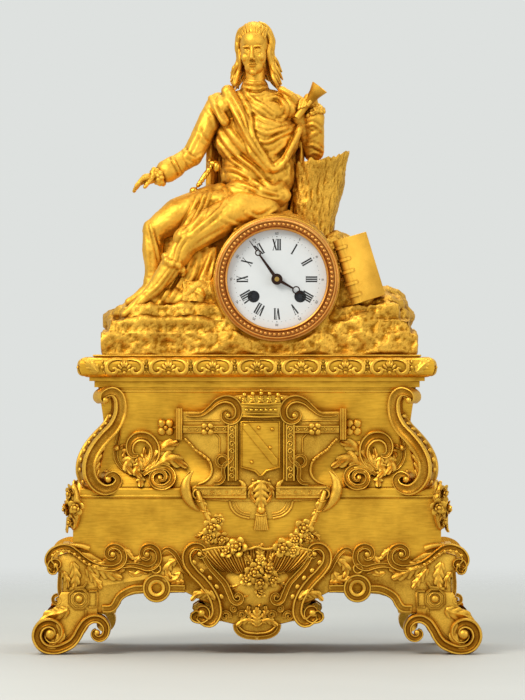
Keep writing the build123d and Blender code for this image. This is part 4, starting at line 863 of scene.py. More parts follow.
# heights are measured from the face of the plate
# the great C scrolls under the coronet, run out to upright bars
scroll = [(60.5, 192.0), (54, 191.6), (47.5, 192.6), (41.2, 197.4), (34.2, 203.2), (26.0, 204.6),
          (19.6, 200.4), (18.0, 193), (21.2, 187.6), (27, 187), (30.4, 190.8), (28.6, 194.6), (25.4, 193.6)]
band(half, scroll, 1.6, [2.4, 2.6, 3.2, 4.6, 6.4, 7.6, 7.4, 6.6, 5.4, 4.4, 3.4, 2.6], channelled)
bead(half, (26.6, 191.4, 2.0), 2.2, 0.8)
band(half, [(65.8, 197), (65.8, 172)], 1.2, 5.2, channelled, straight=True)
band(half, [(62.4, 187.0), (40, 187.4), (33, 187)], 0.2, 1.5, round_bar, straight=True)
# horizontal straps with their four-lobed flowers
band(half, [(62.6, 180.4), (19.4, 180.4)], 0.8, 6.6, strap, straight=True)
for k in range(4):
    a = math.radians(45 + 90 * k)
    bead(half, (43.2 + 3.4 * math.cos(a), 180.6 + 3.4 * math.sin(a), 2.6), 2.6, 0.6)
bead(half, (43.2, 180.6, 4.0), 1.5, 0.9)
for x, turn in ((57.4, 1), (51.8, -1), (35.6, 1), (29.8, -1)):
    band(half, volute((x, 180.4), 1.9, 90, 1.1 * turn, 0.2, 6), 2.3, 0.9, round_bar, resolution=2)
# upright panels beside the shield, their loops, and the fine scrolls on their ground
band(half, [(23.4, 184), (23.4, 139)], 0.8, 8.6, strap, straight=True)
for y, turn in ((180.5, 1), (174.6, -1), (168.6, 1), (162.6, -1), (148.0, 1), (142.6, -1)):
    band(half, volute((23.4, y), 2.5, 90 + 90 * turn, 1.2 * turn, 0.2, 6), 3.2, 1.1, round_bar,
         resolution=2)
band(half, volute((31.2, 154.8), 4.6, 200, 1.0, 0.98), 2.6, 2.6, channelled)
band(half, [(23.0, 158.6), (25.0, 155.0), (29.4, 151.6), (30.6, 146.4), (30.2, 141), (33, 137.6),
            (38, 136.8)], 2.8, 3.4, channelled)
band(half, [(33.4, 162), (33.4, 173), (36.6, 176.6)], 0.4, 1.4, round_bar, straight=True)
# beaded S edge of the side panel, and the bright line inside it
ess = [(60.4, 172.0), (57.0, 168.6), (53.0, 163.8), (47.2, 160.0), (42.2, 155.6), (39.8, 149.6),
       (40.4, 143.6), (44.2, 139.0), (50.4, 136.0)]
band(half, ess, 0.6, 2.0, round_bar)
beads_along(half, ess[:5], 1.15, 1.8, 7, turn=True)
# the low strip with its rosettes, clasps and scrolls
band(half, [(52, 129.8), (12, 129.8)], 0.6, 11.4, strap, straight=True)
for x, size in ((39.4, 3.4), (27.6, 2.8)):
    rosette(half, (x, 129.8, 2.2), size, 6)
for x, turn in ((33.6, 1), (22.4, -1), (17.6, 1), (45.4, -1)):
    band(half, volute((x, 129.8), 2.7, 90, 1.2 * turn, 0.2, 6), 2.8, 1.1, round_bar, resolution=2)
band(half, [(17.6, 139.4), (14.4, 136.4), (14.0, 131.4), (16.8, 128.0)], 2.4, [1.6, 4.2, 4.2, 1.6], domed)
# crescent hooks that carry the garland, each with its ring
hook = [(54.8, 146.6), (59.2, 140.6), (60.8, 133), (58.6, 125.2), (54.6, 119.2), (49.6, 114.6)]
band(half, hook, 0.8, [1.6, 6.0, 9.0, 8.8, 6.0, 1.6], domed)
sweep_band(half, [(x + 2.6, y, 2.2) for x, y in hook[:-1]], 1.3, round_bar)
band(half, volute((50.9, 128.4), 3.6, 90, 1.0, 0.98), 2.6, 1.8, round_bar)
# open arcs below the strip
for points, width in (([(25.4, 122.6), (23.6, 116.4), (18.2, 111.2), (9.4, 108.6)], 2.2),
                      ([(20.6, 121.6), (18.8, 117.4), (14.4, 113.8), (8.4, 112.6)], 1.6),
                      ([(23.0, 122.0), (21.2, 117), (16.4, 112.6), (9, 110.6)], 1.2)):
    band(half, points, -0.4, width, round_bar)
both_halves(half)
add_copy(card, half)
half.free()
# palmette and ribbed tassel in the middle
leaf(card, [(0, 140), (0, 132), (0, 124), (0, 116)], 15, 4.2, 5, 1.2, 1.0)
for side in (-1, 1):
    leaf(card, [(side * 2, 138), (side * 7, 134), (side * 8.6, 128), (side * 4.6, 121)], 6, 3.0, 4, 0.8,
         1.2)
    bead(card, (side * 6.4, 139.6, 1.6), 1.4, 0.9)
bead(card, (0, 115.4, 1.6), 3.6, 0.8)
for k in range(7):
    x = (k - 3) * 1.35
    sweep_band(card, [(x * 0.75, 113.6, 1.4), (x, 106, 1.8 - 0.12 * abs(k - 3)), (x * 1.25, 99.4, 1.2)],
               [1.5, 1.9, 2.1], round_bar, resolution=3)
sweep_band(card, [(-4.4, 111.6, 1.8), (0, 111.0, 2.6), (4.4, 111.6, 1.8)], 1.5, round_bar)
bmesh.ops.translate(card, vec=(CARD_X, 0, CARD_FACE), verts=card.verts[:])
bmesh.ops.transform(card, matrix=LOOK_FRONT, verts=card.verts[:])
cast(card, "strapwork_cartouche", matt, "cartouche")


# ---- shield --------------------------------------------------------------------
# The shield is screwed on through the cartouche: a rimmed field with a plain
# diagonal band and a few studs, and rails up each side.
shield_low = box_of("shield")[0]
front = -shield_low.y - 1.6
shield = bmesh.new()
arms = [(-12.6, 186.4), (18.0, 186.4), (18.0, 150.0), (12.6, 148.6), (7.4, 147.0), (4.0, 143.4),
        (2.0, 143.4), (-1.6, 147.0), (-6.8, 148.6), (-12.6, 150.0)]
solid_plate(shield, arms, CARD_FACE - 2, front, 0.5)
band(shield, arms, front + 0.1, 1.7, round_bar, closed=True, straight=True)
stripe = [(-10.4, 184.6), (-6.6, 184.6), (16.4, 156.4), (16.4, 151.8), (12.8, 151.6), (-11.2, 181.0)]
solid_plate(shield, stripe, front - 1, front + 1.3, 0.35)
for x, y in ((1.4, 181.6), (12.4, 180.4), (10.6, 165.6), (-4.2, 153.8)):
    bead(shield, (x, y, front + 0.5), 1.5, 0.9)
for x in (-17.4, 22.8):
    for dx in (-1.3, 1.3):
        band(shield, [(x + dx, 186), (x + dx, 140)], CARD_FACE + 2.2, 1.7, round_bar, straight=True)
bmesh.ops.transform(shield, matrix=LOOK_FRONT, verts=shield.verts[:])
cast(shield, "shield_with_band", brushed, "shield")


# ---- coronet -------------------------------------------------------------------
# A generic coronet sits above the shield: a ribbed band, low arches, and
# balls on leafy points along its top.
crown_low = box_of("coronet")[0]
front = -crown_low.y - 3.0
crown = bmesh.new()
solid_plate(crown, [(-11.4, 190.6), (18.0, 190.6), (19.6, 201), (17, 207.6), (-10.4, 207.6), (-13, 201)],
            CARD_FACE - 2, front, 0.8)
for y, width in ((190.8, 1.7), (193.4, 1.1), (198.6, 1.1), (201.2, 1.9)):
    grow = 0.10 * (y - 190)
    sweep_band(crown, [(-11.6 - grow, y, front - 0.2), (3.3, y - 0.5, front + 1.2),
                       (18.2 + grow, y, front - 0.2)], width, round_bar)
for k in range(7):
    bead(crown, (-8.4 + k * 3.9, 195.9, front + 1.0), 1.25, 0.8, 0, 1.3)
for k in range(4):
    x = -6.8 + 6.75 * k
    band(crown, volute((x, 204.6), 2.9, 10, 0.5, 0.98), front + 0.6, 1.3, round_bar)
for k in range(5):
    x = -10.2 + 6.75 * k
    top = 208.4 - 0.28 * abs(k - 2) ** 2
    leaf(crown, [(x, 202), (x, 205), (x + 0.2, top - 1)], 4.4, 1.6, 3, 0.6, front + 0.4)
    bead(crown, (x, top + 0.8, front + 1.4), 1.9, 0.9)
for x, y in ((-13.6, 205.4), (20.2, 205.4), (3.3, 211.4), (-3.4, 208.2), (10, 208.2)):
    bead(crown, (x, y, front + 0.4), 1.5, 0.9)
bmesh.ops.transform(crown, matrix=LOOK_FRONT, verts=crown.verts[:])
cast(crown, "coronet_with_balls", burnished, "coronet")


# ---- acanthus mounts -----------------------------------------------------------
# To each side of the cartouche a spray of acanthus springs from a ringed scroll
# and rolls under in a volute; a four-lobed flower is riveted above it.
def waist(z):
    """Half the depth of the waisted body at a height."""
    stops = [(120, 56), (134, 54.4), (141, 50), (150, 47), (175, 45), (200, 47.2), (214, 49)]
    for (z0, d0), (z1, d1) in zip(stops, stops[1:]):
        if z <= z1:
            return d0 + (d1 - d0) * (z - z0) / (z1 - z0)
    return stops[-1][1]


spray = bmesh.new()
ring = [(92.6, 147.6), (86.4, 153.6), (83.8, 162), (86.8, 170.6), (94.4, 174.6), (101.8, 172),
        (104.6, 165), (102, 159.2), (97.8, 159.4)]
band(spray, ring, 3.0, [4.4, 6.6, 8.2, 9.0, 9.2, 8.4, 7, 5, 3], channelled)
roll = [(93.6, 143.8), (86.8, 148.6), (79.6, 150.2), (72.4, 147.6), (69.8, 141.4), (73.4, 135.6),
        (80.4, 134.0), (86.0, 137.2), (86.6, 143.4), (81.4, 146.6), (76.0, 144), (76.6, 139.6), (80.6, 139)]
band(spray, roll, 3.4, [3.0, 4.4, 5.0, 5.2, 5.4, 5.2, 4.6, 4.2, 3.8, 3.2, 2.6, 2.0], channelled)
bead(spray, (80.2, 141.6, 3.4), 2.2, 0.9)
leaf(spray, [(94, 147), (85, 158), (76, 166), (64.6, 170)], 14, 4.2, 5, 3.0, 1.6)
leaf(spray, [(92, 146), (80, 152.6), (70.6, 156), (57.6, 149.6)], 15, 4.6, 5, 3.4, 2.2)
leaf(spray, [(99, 160), (104, 156), (106, 150), (102, 144)], 11, 3.4, 4, 2.0, 1.4)
leaf(spray, [(98, 158), (97, 152), (99, 146), (95, 141)], 9, 3.4, 4, 1.8, 2.4)
leaf(spray, [(97, 147), (96, 142), (95.6, 138), (95.6, 133.6)], 8, 2.8, 3, 1.6, 1.4)
leaf(spray, [(103, 166), (107.6, 162), (110, 157)], 7, 3.0, 3, 1.6, 1.0)
leaf(spray, [(90, 152), (93, 158), (92, 166)], 6, 2.4, 3, 1.0, 1.0)
stalk = [(112.4, 184), (114.0, 174), (115.8, 164.6), (115.6, 156.6), (111, 149.4), (103, 144.4)]
band(spray, stalk, 0.8, [2, 3.2, 3.6, 3.8, 3.6, 2.4], channelled)
bead(spray, (115.4, 165, 2), 2.6, 0.9)
leaf(spray, [(113, 165), (108.6, 167), (105.6, 165)], 4, 1.8, 2, 0.6, 0.6)
for k in range(4):
    a = math.radians(45 + 90 * k)
    bead(spray, (75.6 + 4.4 * math.cos(a), 181.4 + 4.4 * math.sin(a), 3.2), 3.6, 0.5)
bead(spray, (75.6, 181.4, 5.0), 1.8, 0.9)
band(spray, [(71, 181.4), (66.5, 181.4)], 1.4, 2.6, round_bar, straight=True)
bmesh.ops.create_cone(spray, cap_ends=True, segments=16, radius1=2.2, radius2=2.2, depth=6,
                      matrix=Matrix.Translation((75.6, 181.4, 0)))
both_halves(spray)
for vert in spray.verts:
    vert.co.z += waist(vert.co.y)
bmesh.ops.translate(spray, vec=(2.0, 0, 0), verts=spray.verts[:])
bmesh.ops.transform(spray, matrix=LOOK_FRONT, verts=spray.verts[:])
cast(spray, "acanthus_sprays", matt, "acanthus_mounts")


# ---- garland and bouquet -------------------------------------------------------
# A garland of flowers and leaves hangs from the hooks of the cartouche and falls
# into the scallop bowl, where a bouquet spills over the rim.
chance = Random(11)
blooms = bmesh.new()
for side in (-1, 1):
    rope = [(side * 50.9, 130.6, CARD_FACE + 4.2), (side * 48.8, 124, CARD_FACE + 5.6),
            (side * 45.8, 116, CARD_FACE + 5.4), (side * 42, 108, CARD_FACE + 5.0),
            (side * 37.6, 100, CARD_FACE + 6.4), (side * 29, 91, CARD_FACE + 9)]
    rope = [(x + CARD_X, y, h) for x, y, h in rope]
    sweep_band(blooms, rope, [3.4, 4.4, 3.4, 4.6, 4.0, 3.0], round_bar)
    for place in (1, 2, 3):
        x, y, h = rope[place]
        sweep_band(blooms, [(x - 2.6, y - 1, h), (x, y - 1.6, h + 2.2), (x + 2.6, y - 1, h)], 1.5,
                   round_bar)
        leaf(blooms, [(x, y), (x - side * 3, y - 4), (x - side * 3, y - 9)], 5, 2.2, 3, 1.2, h - 0.4)
for x, y, size, out in ((-36.4, 101.6, 7.4, 66), (-31.0, 107.4, 5.0, 64), (-38.6, 93.6, 5.6, 66),
                        (-28.6, 92.6, 6.4, 68), (-15.4, 86.0, 8.4, 70), (-24.0, 82.8, 6.2, 70),
                        (37.4, 101.0, 7.8, 66), (31.4, 92.8, 6.0, 68), (41.0, 93.4, 5.0, 66),
                        (20.6, 85.6, 8.0, 70), (28.6, 83.4, 5.6, 70), (-2.6, 66.4, 7.6, 70.5),
                        (8.6, 68.0, 7.2, 70.5), (12.6, 60.0, 6.2, 70), (2.6, 58.4, 7.4, 71),
                        (-8.2, 60.4, 6.2, 70), (2.8, 50.2, 5.4, 68.5), (3.0, 76.0, 4.2, 70)):
    tilt = Vector((chance.uniform(-0.35, 0.35), chance.uniform(-0.35, 0.35), 1)).normalized()
    place = Matrix.Translation((x, y, out)) @ tilt.to_track_quat("Z", "Y").to_matrix().to_4x4()
    rosette(blooms, place, size, 5 if size > 6 else 6, chance.uniform(0, 72), 0.45)
for x, y, turn, length, out in ((-42, 98, 215, 9, 65), (-33, 96, 250, 9, 66), (-24, 90, 280, 9, 67),
                                (-9, 80, 300, 8, 69), (-20, 77, 240, 9, 69), (-30, 78, 200, 9, 69),
                                (43, 97, 330, 9, 65), (34, 87, 280, 9, 67), (24, 78, 290, 9, 69),
                                (14, 80, 250, 8, 69), (-12, 66, 160, 9, 69), (-14, 56, 200, 9, 68),
                                (-4, 52, 235, 9, 68), (9, 51, 305, 9, 68), (18, 56, 345, 9, 68),
                                (18, 66, 20, 9, 69), (11, 74, 60, 9, 69), (-5, 74, 120, 9, 69),
                                (3, 78, 90, 11, 69), (3, 46, 270, 8, 67)):
    a = math.radians(turn)
    reach = [(x + math.cos(a + b) * length * t, y + math.sin(a + b) * length * t)
             for t, b in ((-0.3, 0), (0.25, 0.15), (0.65, 0.05), (1.0, -0.2))]
    leaf(blooms, reach, length * 0.66, 2.4, 4, 2.0, out - 1.5)
for x, y, wide, tall, out in ((2.4, 64, 13, 12, 63), (-19, 85, 11, 8, 63), (24, 85, 11, 8, 63),
                              (-35, 98, 6, 9, 60), (36, 98, 6, 9, 60)):
    core = Matrix.Translation((x, y, out)) @ Matrix.Diagonal((wide, tall, 7, 1))
    bmesh.ops.create_icosphere(blooms, subdivisions=3, radius=1, matrix=core)
bmesh.ops.transform(blooms, matrix=LOOK_FRONT, verts=blooms.verts[:])
cast(blooms, "flower_garland", matt, "garland")


# ---- rocky terrace -------------------------------------------------------------
# The terrace is a cast rock that carries the drum of the movement. Its surface is
# chased all over with short punched strokes and broken by ledges and lumps.
def lump(mesh, *shapes):
    """Adds balls of clay, each (x, y, z, half width, half depth, half height)."""
    for x, y, z, rx, ry, rz in shapes:
        place = Matrix.Translation((x, y, z)) @ Matrix.Diagonal((rx, ry, rz, 1))
        bmesh.ops.create_icosphere(mesh, subdivisions=3, radius=1, matrix=place)


def chain(mesh, points, radii):
    """A limb of overlapping balls along a broken line, its radius eased from point to point."""
    for start, end, r0, r1 in zip(points, points[1:], radii, radii[1:]):
        start, end = Vector(start), Vector(end)
        steps = max(2, math.ceil((end - start).length / (0.3 * min(r0, r1))))
        for k in range(steps + 1):
            share = k / steps
            spot, radius = start.lerp(end, share), r0 + (r1 - r0) * share
            lump(mesh, (*spot, radius, radius, radius))


def fuse(mesh, grain, rounds=4):
    """Joins the overlapping lumps of a model into one skin and softens it."""
    bmesh.ops.recalc_face_normals(mesh, faces=mesh.faces[:])
    data = bpy.data.meshes.new("clay")
    mesh.to_mesh(data)
    mesh.free()
    model = bpy.data.objects.new("clay", data)
    bpy.context.scene.collection.objects.link(model)
    joined = model.modifiers.new("join", "REMESH")
    joined.mode = "VOXEL"
    joined.voxel_size = grain
    eased = model.modifiers.new("ease", "SMOOTH")
    eased.factor = 0.5
    eased.iterations = rounds
    skin = bpy.data.meshes.new_from_object(
        model.evaluated_get(bpy.context.evaluated_depsgraph_get()))
    bpy.data.objects.remove(model)
    bpy.data.meshes.remove(data)
    clay = bmesh.new()
    clay.from_mesh(skin)
    bpy.data.meshes.remove(skin)
    return clay


def roughen(clay, layers, keep=None):
    """Moves the skin in and out by noise: each layer is a grain size and a depth."""
    clay.normal_update()
    for vert in clay.verts:
        amount = sum(depth * noise.noise(vert.co / size) for size, depth in layers)
        vert.co += vert.normal * amount * (keep(vert.co) if keep else 1.0)


terrace_low, terrace_high = box_of("terrace")
DIAL = Vector((16.0, 0, 301.0))
rock = bmesh.new()
for x0, x1, half_y, z0, z1 in ((-125, 129, 50, 239.6, 258), (-119, 124, 48, 250, 269),
                               (-108, 114, 44, 262, 280), (-60, 92, 40, 270, 300)):
    place = (Matrix.Translation(((x0 + x1) / 2, 0, (z0 + z1) / 2))
             @ Matrix.Diagonal((x1 - x0, 2 * half_y, z1 - z0, 1)))
    bmesh.ops.create_cube(rock, size=1, matrix=place)
place = (Matrix.Translation(DIAL) @ Matrix.Rotation(math.pi / 2, 4, "X"))
bmesh.ops.create_cone(rock, cap_ends=True, segments=96, radius1=51.5, radius2=51.5, depth=98, matrix=place)
lump(rock, (-44, 4, 292, 34, 36, 22), (-70, 0, 278, 34, 34, 13), (4, 8, 338, 36, 30, 24),
     (72, -2, 300, 24, 32, 26), (100, -14, 281, 24, 24, 10), (96, 16, 284, 26, 22, 15),
     (60, 8, 322, 24, 24, 18), (-92, -16, 274, 24, 24, 9), (-30, -34, 272, 26, 12, 12),
     (84, -36, 268, 22, 12, 12), (118, 2, 272, 12, 34, 10), (-112, 10, 268, 12, 30, 9))
rock = fuse(rock, 1.25, 8)
bore = bmesh.new()
bmesh.ops.create_cone(bore, cap_ends=True, segments=96, radius1=43.6, radius2=43.6, depth=120, matrix=place)


def away_from_dial(point):
    """Nothing is chased under the bezel or on the flat underside."""
    gap = math.hypot(point.x - DIAL.x, point.z - DIAL.z) - 51
    beside_dial = min(1.0, max(0.0, gap / 4)) if abs(point.y) > 44 else 1.0
    return beside_dial * min(1.0, max(0.0, point.z - 240) / 3)


roughen(rock, ((26, 5.0), (10, 2.2), (4.2, 1.1), (1.8, 0.6)), keep=away_from_dial)
for vert in rock.verts:
    vert.co.z = max(vert.co.z, 240.0)
    vert.co.x = min(max(vert.co.x, terrace_low.x - 1), terrace_high.x + 1)
    vert.co.y = min(max(vert.co.y, -52.5), 52.5)
    if math.hypot(vert.co.x - DIAL.x, vert.co.z - DIAL.z) < 52.5:
        vert.co.y = min(max(vert.co.y, -49.6), 49.8)


def cut(clay, tool):
    """Cuts one closed shape out of another."""
    holders = []
    for mesh in (clay, tool):
        data = bpy.data.meshes.new("cut")
        mesh.to_mesh(data)
        mesh.free()
        holders.append(bpy.data.objects.new("cut", data))
        bpy.context.scene.collection.objects.link(holders[-1])
    knife = holders[0].modifiers.new("cut", "BOOLEAN")
    knife.object = holders[1]
    knife.operation = "DIFFERENCE"
    knife.solver = "EXACT"
    skin = bpy.data.meshes.new_from_object(
        holders[0].evaluated_get(bpy.context.evaluated_depsgraph_get()))
    for holder in holders:
        bpy.data.objects.remove(holder)
    result = bmesh.new()
    result.from_mesh(skin)
    bpy.data.meshes.remove(skin)
    return result


cast(cut(rock, bore), "chased_rock", stippled, "terrace")


# ---- tree stump ----------------------------------------------------------------
# The figure leans on a broken tree stump, ridged with bark, its top splintered.
bark = bmesh.new()
ROUND, TALL = 150, 84
rows = []
for j in range(TALL + 1):
    up = j / TALL
    row = []
    for k in range(ROUND):
        a = math.tau * k / ROUND
        twist = a + 0.5 * up
        ridge = noise.noise(Vector((math.cos(twist) * 3.2, math.sin(twist) * 3.2, up * 2.6)))
        fine = noise.noise(Vector((math.cos(twist) * 9, math.sin(twist) * 9, up * 7)))
        chip = noise.noise(Vector((math.cos(twist) * 17, math.sin(twist) * 17, up * 16)))
        knot = noise.noise(Vector((math.cos(a) * 1.4, math.sin(a) * 1.4, up * 3 + 7)))
        r = (24 - 2.5 * math.sin(math.pi * min(1, up * 1.05)) ** 0.8 + 1.5 * up ** 3
             + 1.7 * ridge + 1.0 * fine + 0.8 * chip + 3.0 * knot)
        x = 38 + 12 * up + (r + 1.0 * up) * math.cos(a)
        y = 8 + 0.86 * r * math.sin(a)
        jag = 3.6 * noise.noise(Vector((math.cos(a) * 3.1, math.sin(a) * 3.1, 2.2))) + 2.5 * fine
        tall = 76 + 6.0 * math.cos(a) + jag
        row.append(bark.verts.new((x, y, 324 + tall * up)))
    rows.append(row)
for depth, shrink in ((1.2, 0.90), (6.0, 0.66), (8.0, 0.30)):
    centre = sum((v.co for v in rows[TALL]), Vector()) / ROUND
    rows.append([bark.verts.new((centre.x + (v.co.x - centre.x) * shrink,
                                 centre.y + (v.co.y - centre.y) * shrink,
                                 v.co.z * shrink + centre.z * (1 - shrink) - depth)) for v in rows[TALL]])
skin_over(bark, rows)
cast(bark, "splintered_stump", stippled, "stump")


# ---- book ----------------------------------------------------------------------
# A book leans on the stump: two boards, a block of pages set in from their edges,
# and a rounded spine with five raised bands.
book = bmesh.new()


def slab(mesh, centre, size, bevel=0.4):
    """A small block with softened edges."""
    made = bmesh.ops.create_cube(mesh, size=1, matrix=Matrix.Translation(centre)
                                 @ Matrix.Diagonal((*size, 1)))["verts"]
    edges = list({edge for vert in made for edge in vert.link_edges})
    bmesh.ops.bevel(mesh, geom=edges, offset=bevel, offset_type="OFFSET", segments=2, profile=0.5,
                    affect="EDGES", material=-1)


for y in (-5.2, 5.2):
    slab(book, (0.6, y, 0), (25.0, 1.6, 53.6), 0.5)
slab(book, (0.2, 0, 0), (23.4, 9.4, 51.2), 0.3)
for k in range(7):
    slab(book, (0.3, -3.9 + 1.3 * k, 0), (23.6, 0.5, 51.5), 0.1)
bmesh.ops.create_cone(book, cap_ends=True, segments=32, radius1=6.0, radius2=6.0, depth=53.6,
                      matrix=Matrix.Translation((-11.4, 0, 0)) @ Matrix.Diagonal((0.7, 1, 1, 1)))
for k in range(5):
    bmesh.ops.create_cone(book, cap_ends=True, segments=32, radius1=7.3, radius2=7.3, depth=2.2,
                          matrix=Matrix.Translation((-11.4, 0, -20 + 10 * k))
                          @ Matrix.Diagonal((0.74, 1, 1, 1)))
lean = (Matrix.Translation((82.5, -40, 310.0)) @ Matrix.Rotation(math.radians(-17), 4, "Y")
        @ Matrix.Rotation(math.radians(33), 4, "Z"))
bmesh.ops.transform(book, matrix=lean, verts=book.verts[:])
cast(book, "leaning_book", satin, "book")


# ---- seated figure: body and cloak ---------------------------------------------
# The figure wears a close coat under a cloak, which is thrown over the right
# shoulder and drawn across the chest in deep folds.
def press(clay, folds, facing=-1):
    """Raises ridges with a groove to each side, along lines (x, z) seen from front or back."""
    clay.normal_update()
    points = np.array([vert.co[:] for vert in clay.verts])
    normals = np.array([vert.normal[:] for vert in clay.verts])
    seen = np.clip(normals[:, 1] * facing * 1.8, 0, 1)
    shift = np.zeros(len(points))
    for line, height, width in folds:
        nearest = np.full(len(points), 1e9)
        along = np.zeros(len(points))
        fine = [np.array(spot) for spot, _ in eased_line(line, [0] * len(line), (0, 0.34, 0.67))]
        for k, (a, b) in enumerate(zip(fine, fine[1:])):
            span = b - a
            t = np.clip(((points[:, [0, 2]] - a) @ span) / (span @ span), 0, 1)
            gap = np.linalg.norm(points[:, [0, 2]] - (a + t[:, None] * span), axis=1)
            closer = gap < nearest
            nearest = np.where(closer, gap, nearest)
            along = np.where(closer, (k + t) / (len(fine) - 1), along)
        groove = np.exp(-((nearest - 1.9 * width) / (0.8 * width)) ** 2)
        crest = np.exp(-(nearest / width) ** 2) - 0.55 * groove
        shift += 0.72 * height * crest * np.sin(np.pi * np.clip(along, 0.04, 0.96)) ** 0.5 * seen
    for vert, amount in zip(clay.verts, shift):
        vert.co += vert.normal * amount


def cloth(mesh, top, bottom, folds, depth, thick=2.2, phase=0.0):
    """A hanging sheet between two lines of points, its folds deepening downwards."""
    made = bmesh.ops.create_grid(mesh, x_segments=60, y_segments=30, size=0.5)["verts"]
    for vert in made:
        across, down = vert.co.x + 0.5, 0.5 - vert.co.y
        spots = []
        for line in (top, bottom):
            knot = min(across, 0.9999) * (len(line) - 1)
            k = int(knot)
            spots.append(Vector(line[k]).lerp(Vector(line[k + 1]), knot - k))
        wave = math.sin(math.tau * folds * across + phase + 0.8 * down)
        vert.co = spots[0].lerp(spots[1], down) + Vector((0, depth * (0.25 + 0.75 * down) * wave, 0))
    mesh.normal_update()
    faces = list({face for vert in made for face in vert.link_faces})
    bmesh.ops.solidify(mesh, geom=faces, thickness=thick)


body = bmesh.new()
lump(body, (-1, -4, 364, 27, 24, 22), (1, -4, 388, 31, 21, 26), (0, -3, 416, 35, 21, 26),
     (-1, -1, 438, 35, 17, 14), (0, 0, 448, 27, 13, 10), (-2, 1, 456, 12, 11, 12),
     (-2, -1, 461, 9.6, 9.6, 7.5), (-26, -2, 443, 13, 14, 11), (25, -2, 442, 13, 14, 11),
     (-2, -18, 370, 30, 14, 14), (14, -12, 374, 12, 14, 12))
chain(body, [(-24, -6, 455), (-16, -15, 440), (-10, -20, 424), (-2, -23, 406), (10, -24, 392)],
      [5.5, 6.0, 6.2, 5.6, 4.4])
chain(body, [(-37, -4, 449), (-33, -12, 441), (-26, -17, 430)], [3.4, 4.4, 4.0])
chain(body, [(20, -7, 456), (28, -9, 450), (36, -8, 443)], [3.4, 4.4, 3.0])
chain(body, [(13, -24, 391), (22, -22, 398), (30, -18, 412), (35, -13, 425)], [3.8, 3.4, 3.2, 3.0])
cloth(body, [(-37, -2, 444), (-30, 7, 451), (-14, 11, 456), (2, 12, 458), (18, 11, 455), (31, 6, 450),
             (37, -2, 443)], [(-38, -4, 358), (-34, 9, 353), (-18, 16, 348), (0, 20, 345), (18, 17, 348),
                              (33, 9, 353), (36, -2, 358)], 6, 2.4, 5.0, 0.6)
body = fuse(body, 0.85, 4)
press(body, (
    ([(-28, 455), (-20, 440), (-15, 431), (-8, 417), (1, 403), (12, 390)], 1.7, 1.5),
    ([(-17, 458), (-8, 442), (-5, 431), (-3, 417), (4, 406), (13, 391)], 2.2, 1.4),
    ([(-23, 455), (-14, 440), (-9, 428), (-5, 415), (3, 402)], 1.1, 1.0),
    ([(13, 390), (20, 393), (28, 409), (36, 425)], 2.0, 1.6),
    ([(-38, 449), (-31, 435), (-20, 419), (-9, 406), (1, 395), (9, 385)], 2.0, 1.7),
    ([(-34, 441), (-27, 425), (-16, 410), (-4, 397)], 1.1, 1.2),
    ([(-34, 426), (-26, 413), (-15, 401), (-2, 391), (9, 378), (15, 376), (24, 383)], 2.0, 1.6),
    ([(-33, 414), (-24, 402), (-12, 392), (0, 383)], 1.3, 1.3),
    ([(-31, 392), (-19, 391), (-9, 386), (4, 376), (20, 369)], 2.2, 1.6),
    ([(-20, 381), (-9, 377), (-1, 374), (15, 370)], 2.0, 1.4),
    ([(-30, 381), (-26, 373), (-18, 363)], 1.8, 1.5),
    ([(-33, 417), (-31, 401), (-29, 384), (-29, 369)], 1.4, 1.3),
    ([(-8, 445), (-3, 438), (7, 431), (18, 428)], 1.6, 1.3),
    ([(-1, 424), (7, 420), (16, 422), (30, 427)], 1.8, 1.5),
    ([(0, 414), (9, 413), (18, 418), (34, 425)], 1.8, 1.3),
    ([(8, 402), (15, 404), (24, 412)], 1.2, 1.5),
    ([(7, 448), (17, 450), (24, 442), (23, 434), (17, 431)], 1.8, 1.3),
    ([(17, 458), (26, 453), (36, 444)], 1.8, 1.3), ([(12, 452), (20, 446), (22, 438)], 1.2, 1.2),
    ([(-11, 456), (-2, 447), (6, 442), (14, 435)], 1.4, 1.1),
    ([(-12, 463), (-2, 461), (8, 463)], 1.1, 0.9), ([(-13, 459), (-2, 456.5), (9, 459)], 1.1, 0.9),
    ([(-10, 455), (-1, 452), (8, 455)], 1.0, 0.9),
    ([(-3, 374), (4, 369), (20, 366)], 1.8, 1.4), ([(-27, 374), (-22, 367), (-10, 359)], 1.8, 1.4),
    ([(22, 404), (26, 394), (26, 380)], 1.3, 1.5), ([(30, 440), (31, 430), (27, 422)], 1.0, 1.2)))
press(body, (([(-22, 452), (-26, 420), (-30, 380), (-31, 352)], 1.2, 2.0),
             ([(22, 450), (26, 420), (28, 380), (28, 352)], 1.2, 2.0),
             ([(-30, 440), (-10, 425), (10, 426), (30, 440)], 1.3, 1.8),
             ([(-30, 425), (-10, 408), (10, 409), (30, 426)], 1.3, 1.8)), facing=1)
roughen(body, ((7, 0.35), (2.2, 0.22)))
cast(body, "cloaked_body", satin, "figure_body")


# ---- seated figure: legs and hanging cloak -------------------------------------
# The right leg crosses in front, in a soft boot with a frilled top; the left is
# bent behind it. The end of the cloak hangs between them to the rock.
legs = bmesh.new()
chain(legs, [(4, -20, 358), (-12, -27, 357), (-34, -33, 347), (-56, -37, 332)], [15, 16, 14, 11])
chain(legs, [(-56, -37, 332), (-68, -38, 314), (-80, -38, 297), (-91, -37, 285)], [10.5, 9.4, 7.0, 5.2])
chain(legs, [(-91, -37, 285), (-99, -40, 279), (-107, -43, 273)], [5.2, 4.4, 2.8])
chain(legs, [(-8, -6, 362), (-36, -12, 362), (-64, -16, 354), (-84, -18, 341)], [17, 17, 14, 9.5])
chain(legs, [(-84, -18, 341), (-85, -18, 326), (-84, -17, 308), (-87, -18, 296)], [9.0, 8.6, 7.0, 6.0])
chain(legs, [(-87, -18, 294), (-95, -22, 287), (-104, -26, 283)], [6.4, 5.4, 3.4])
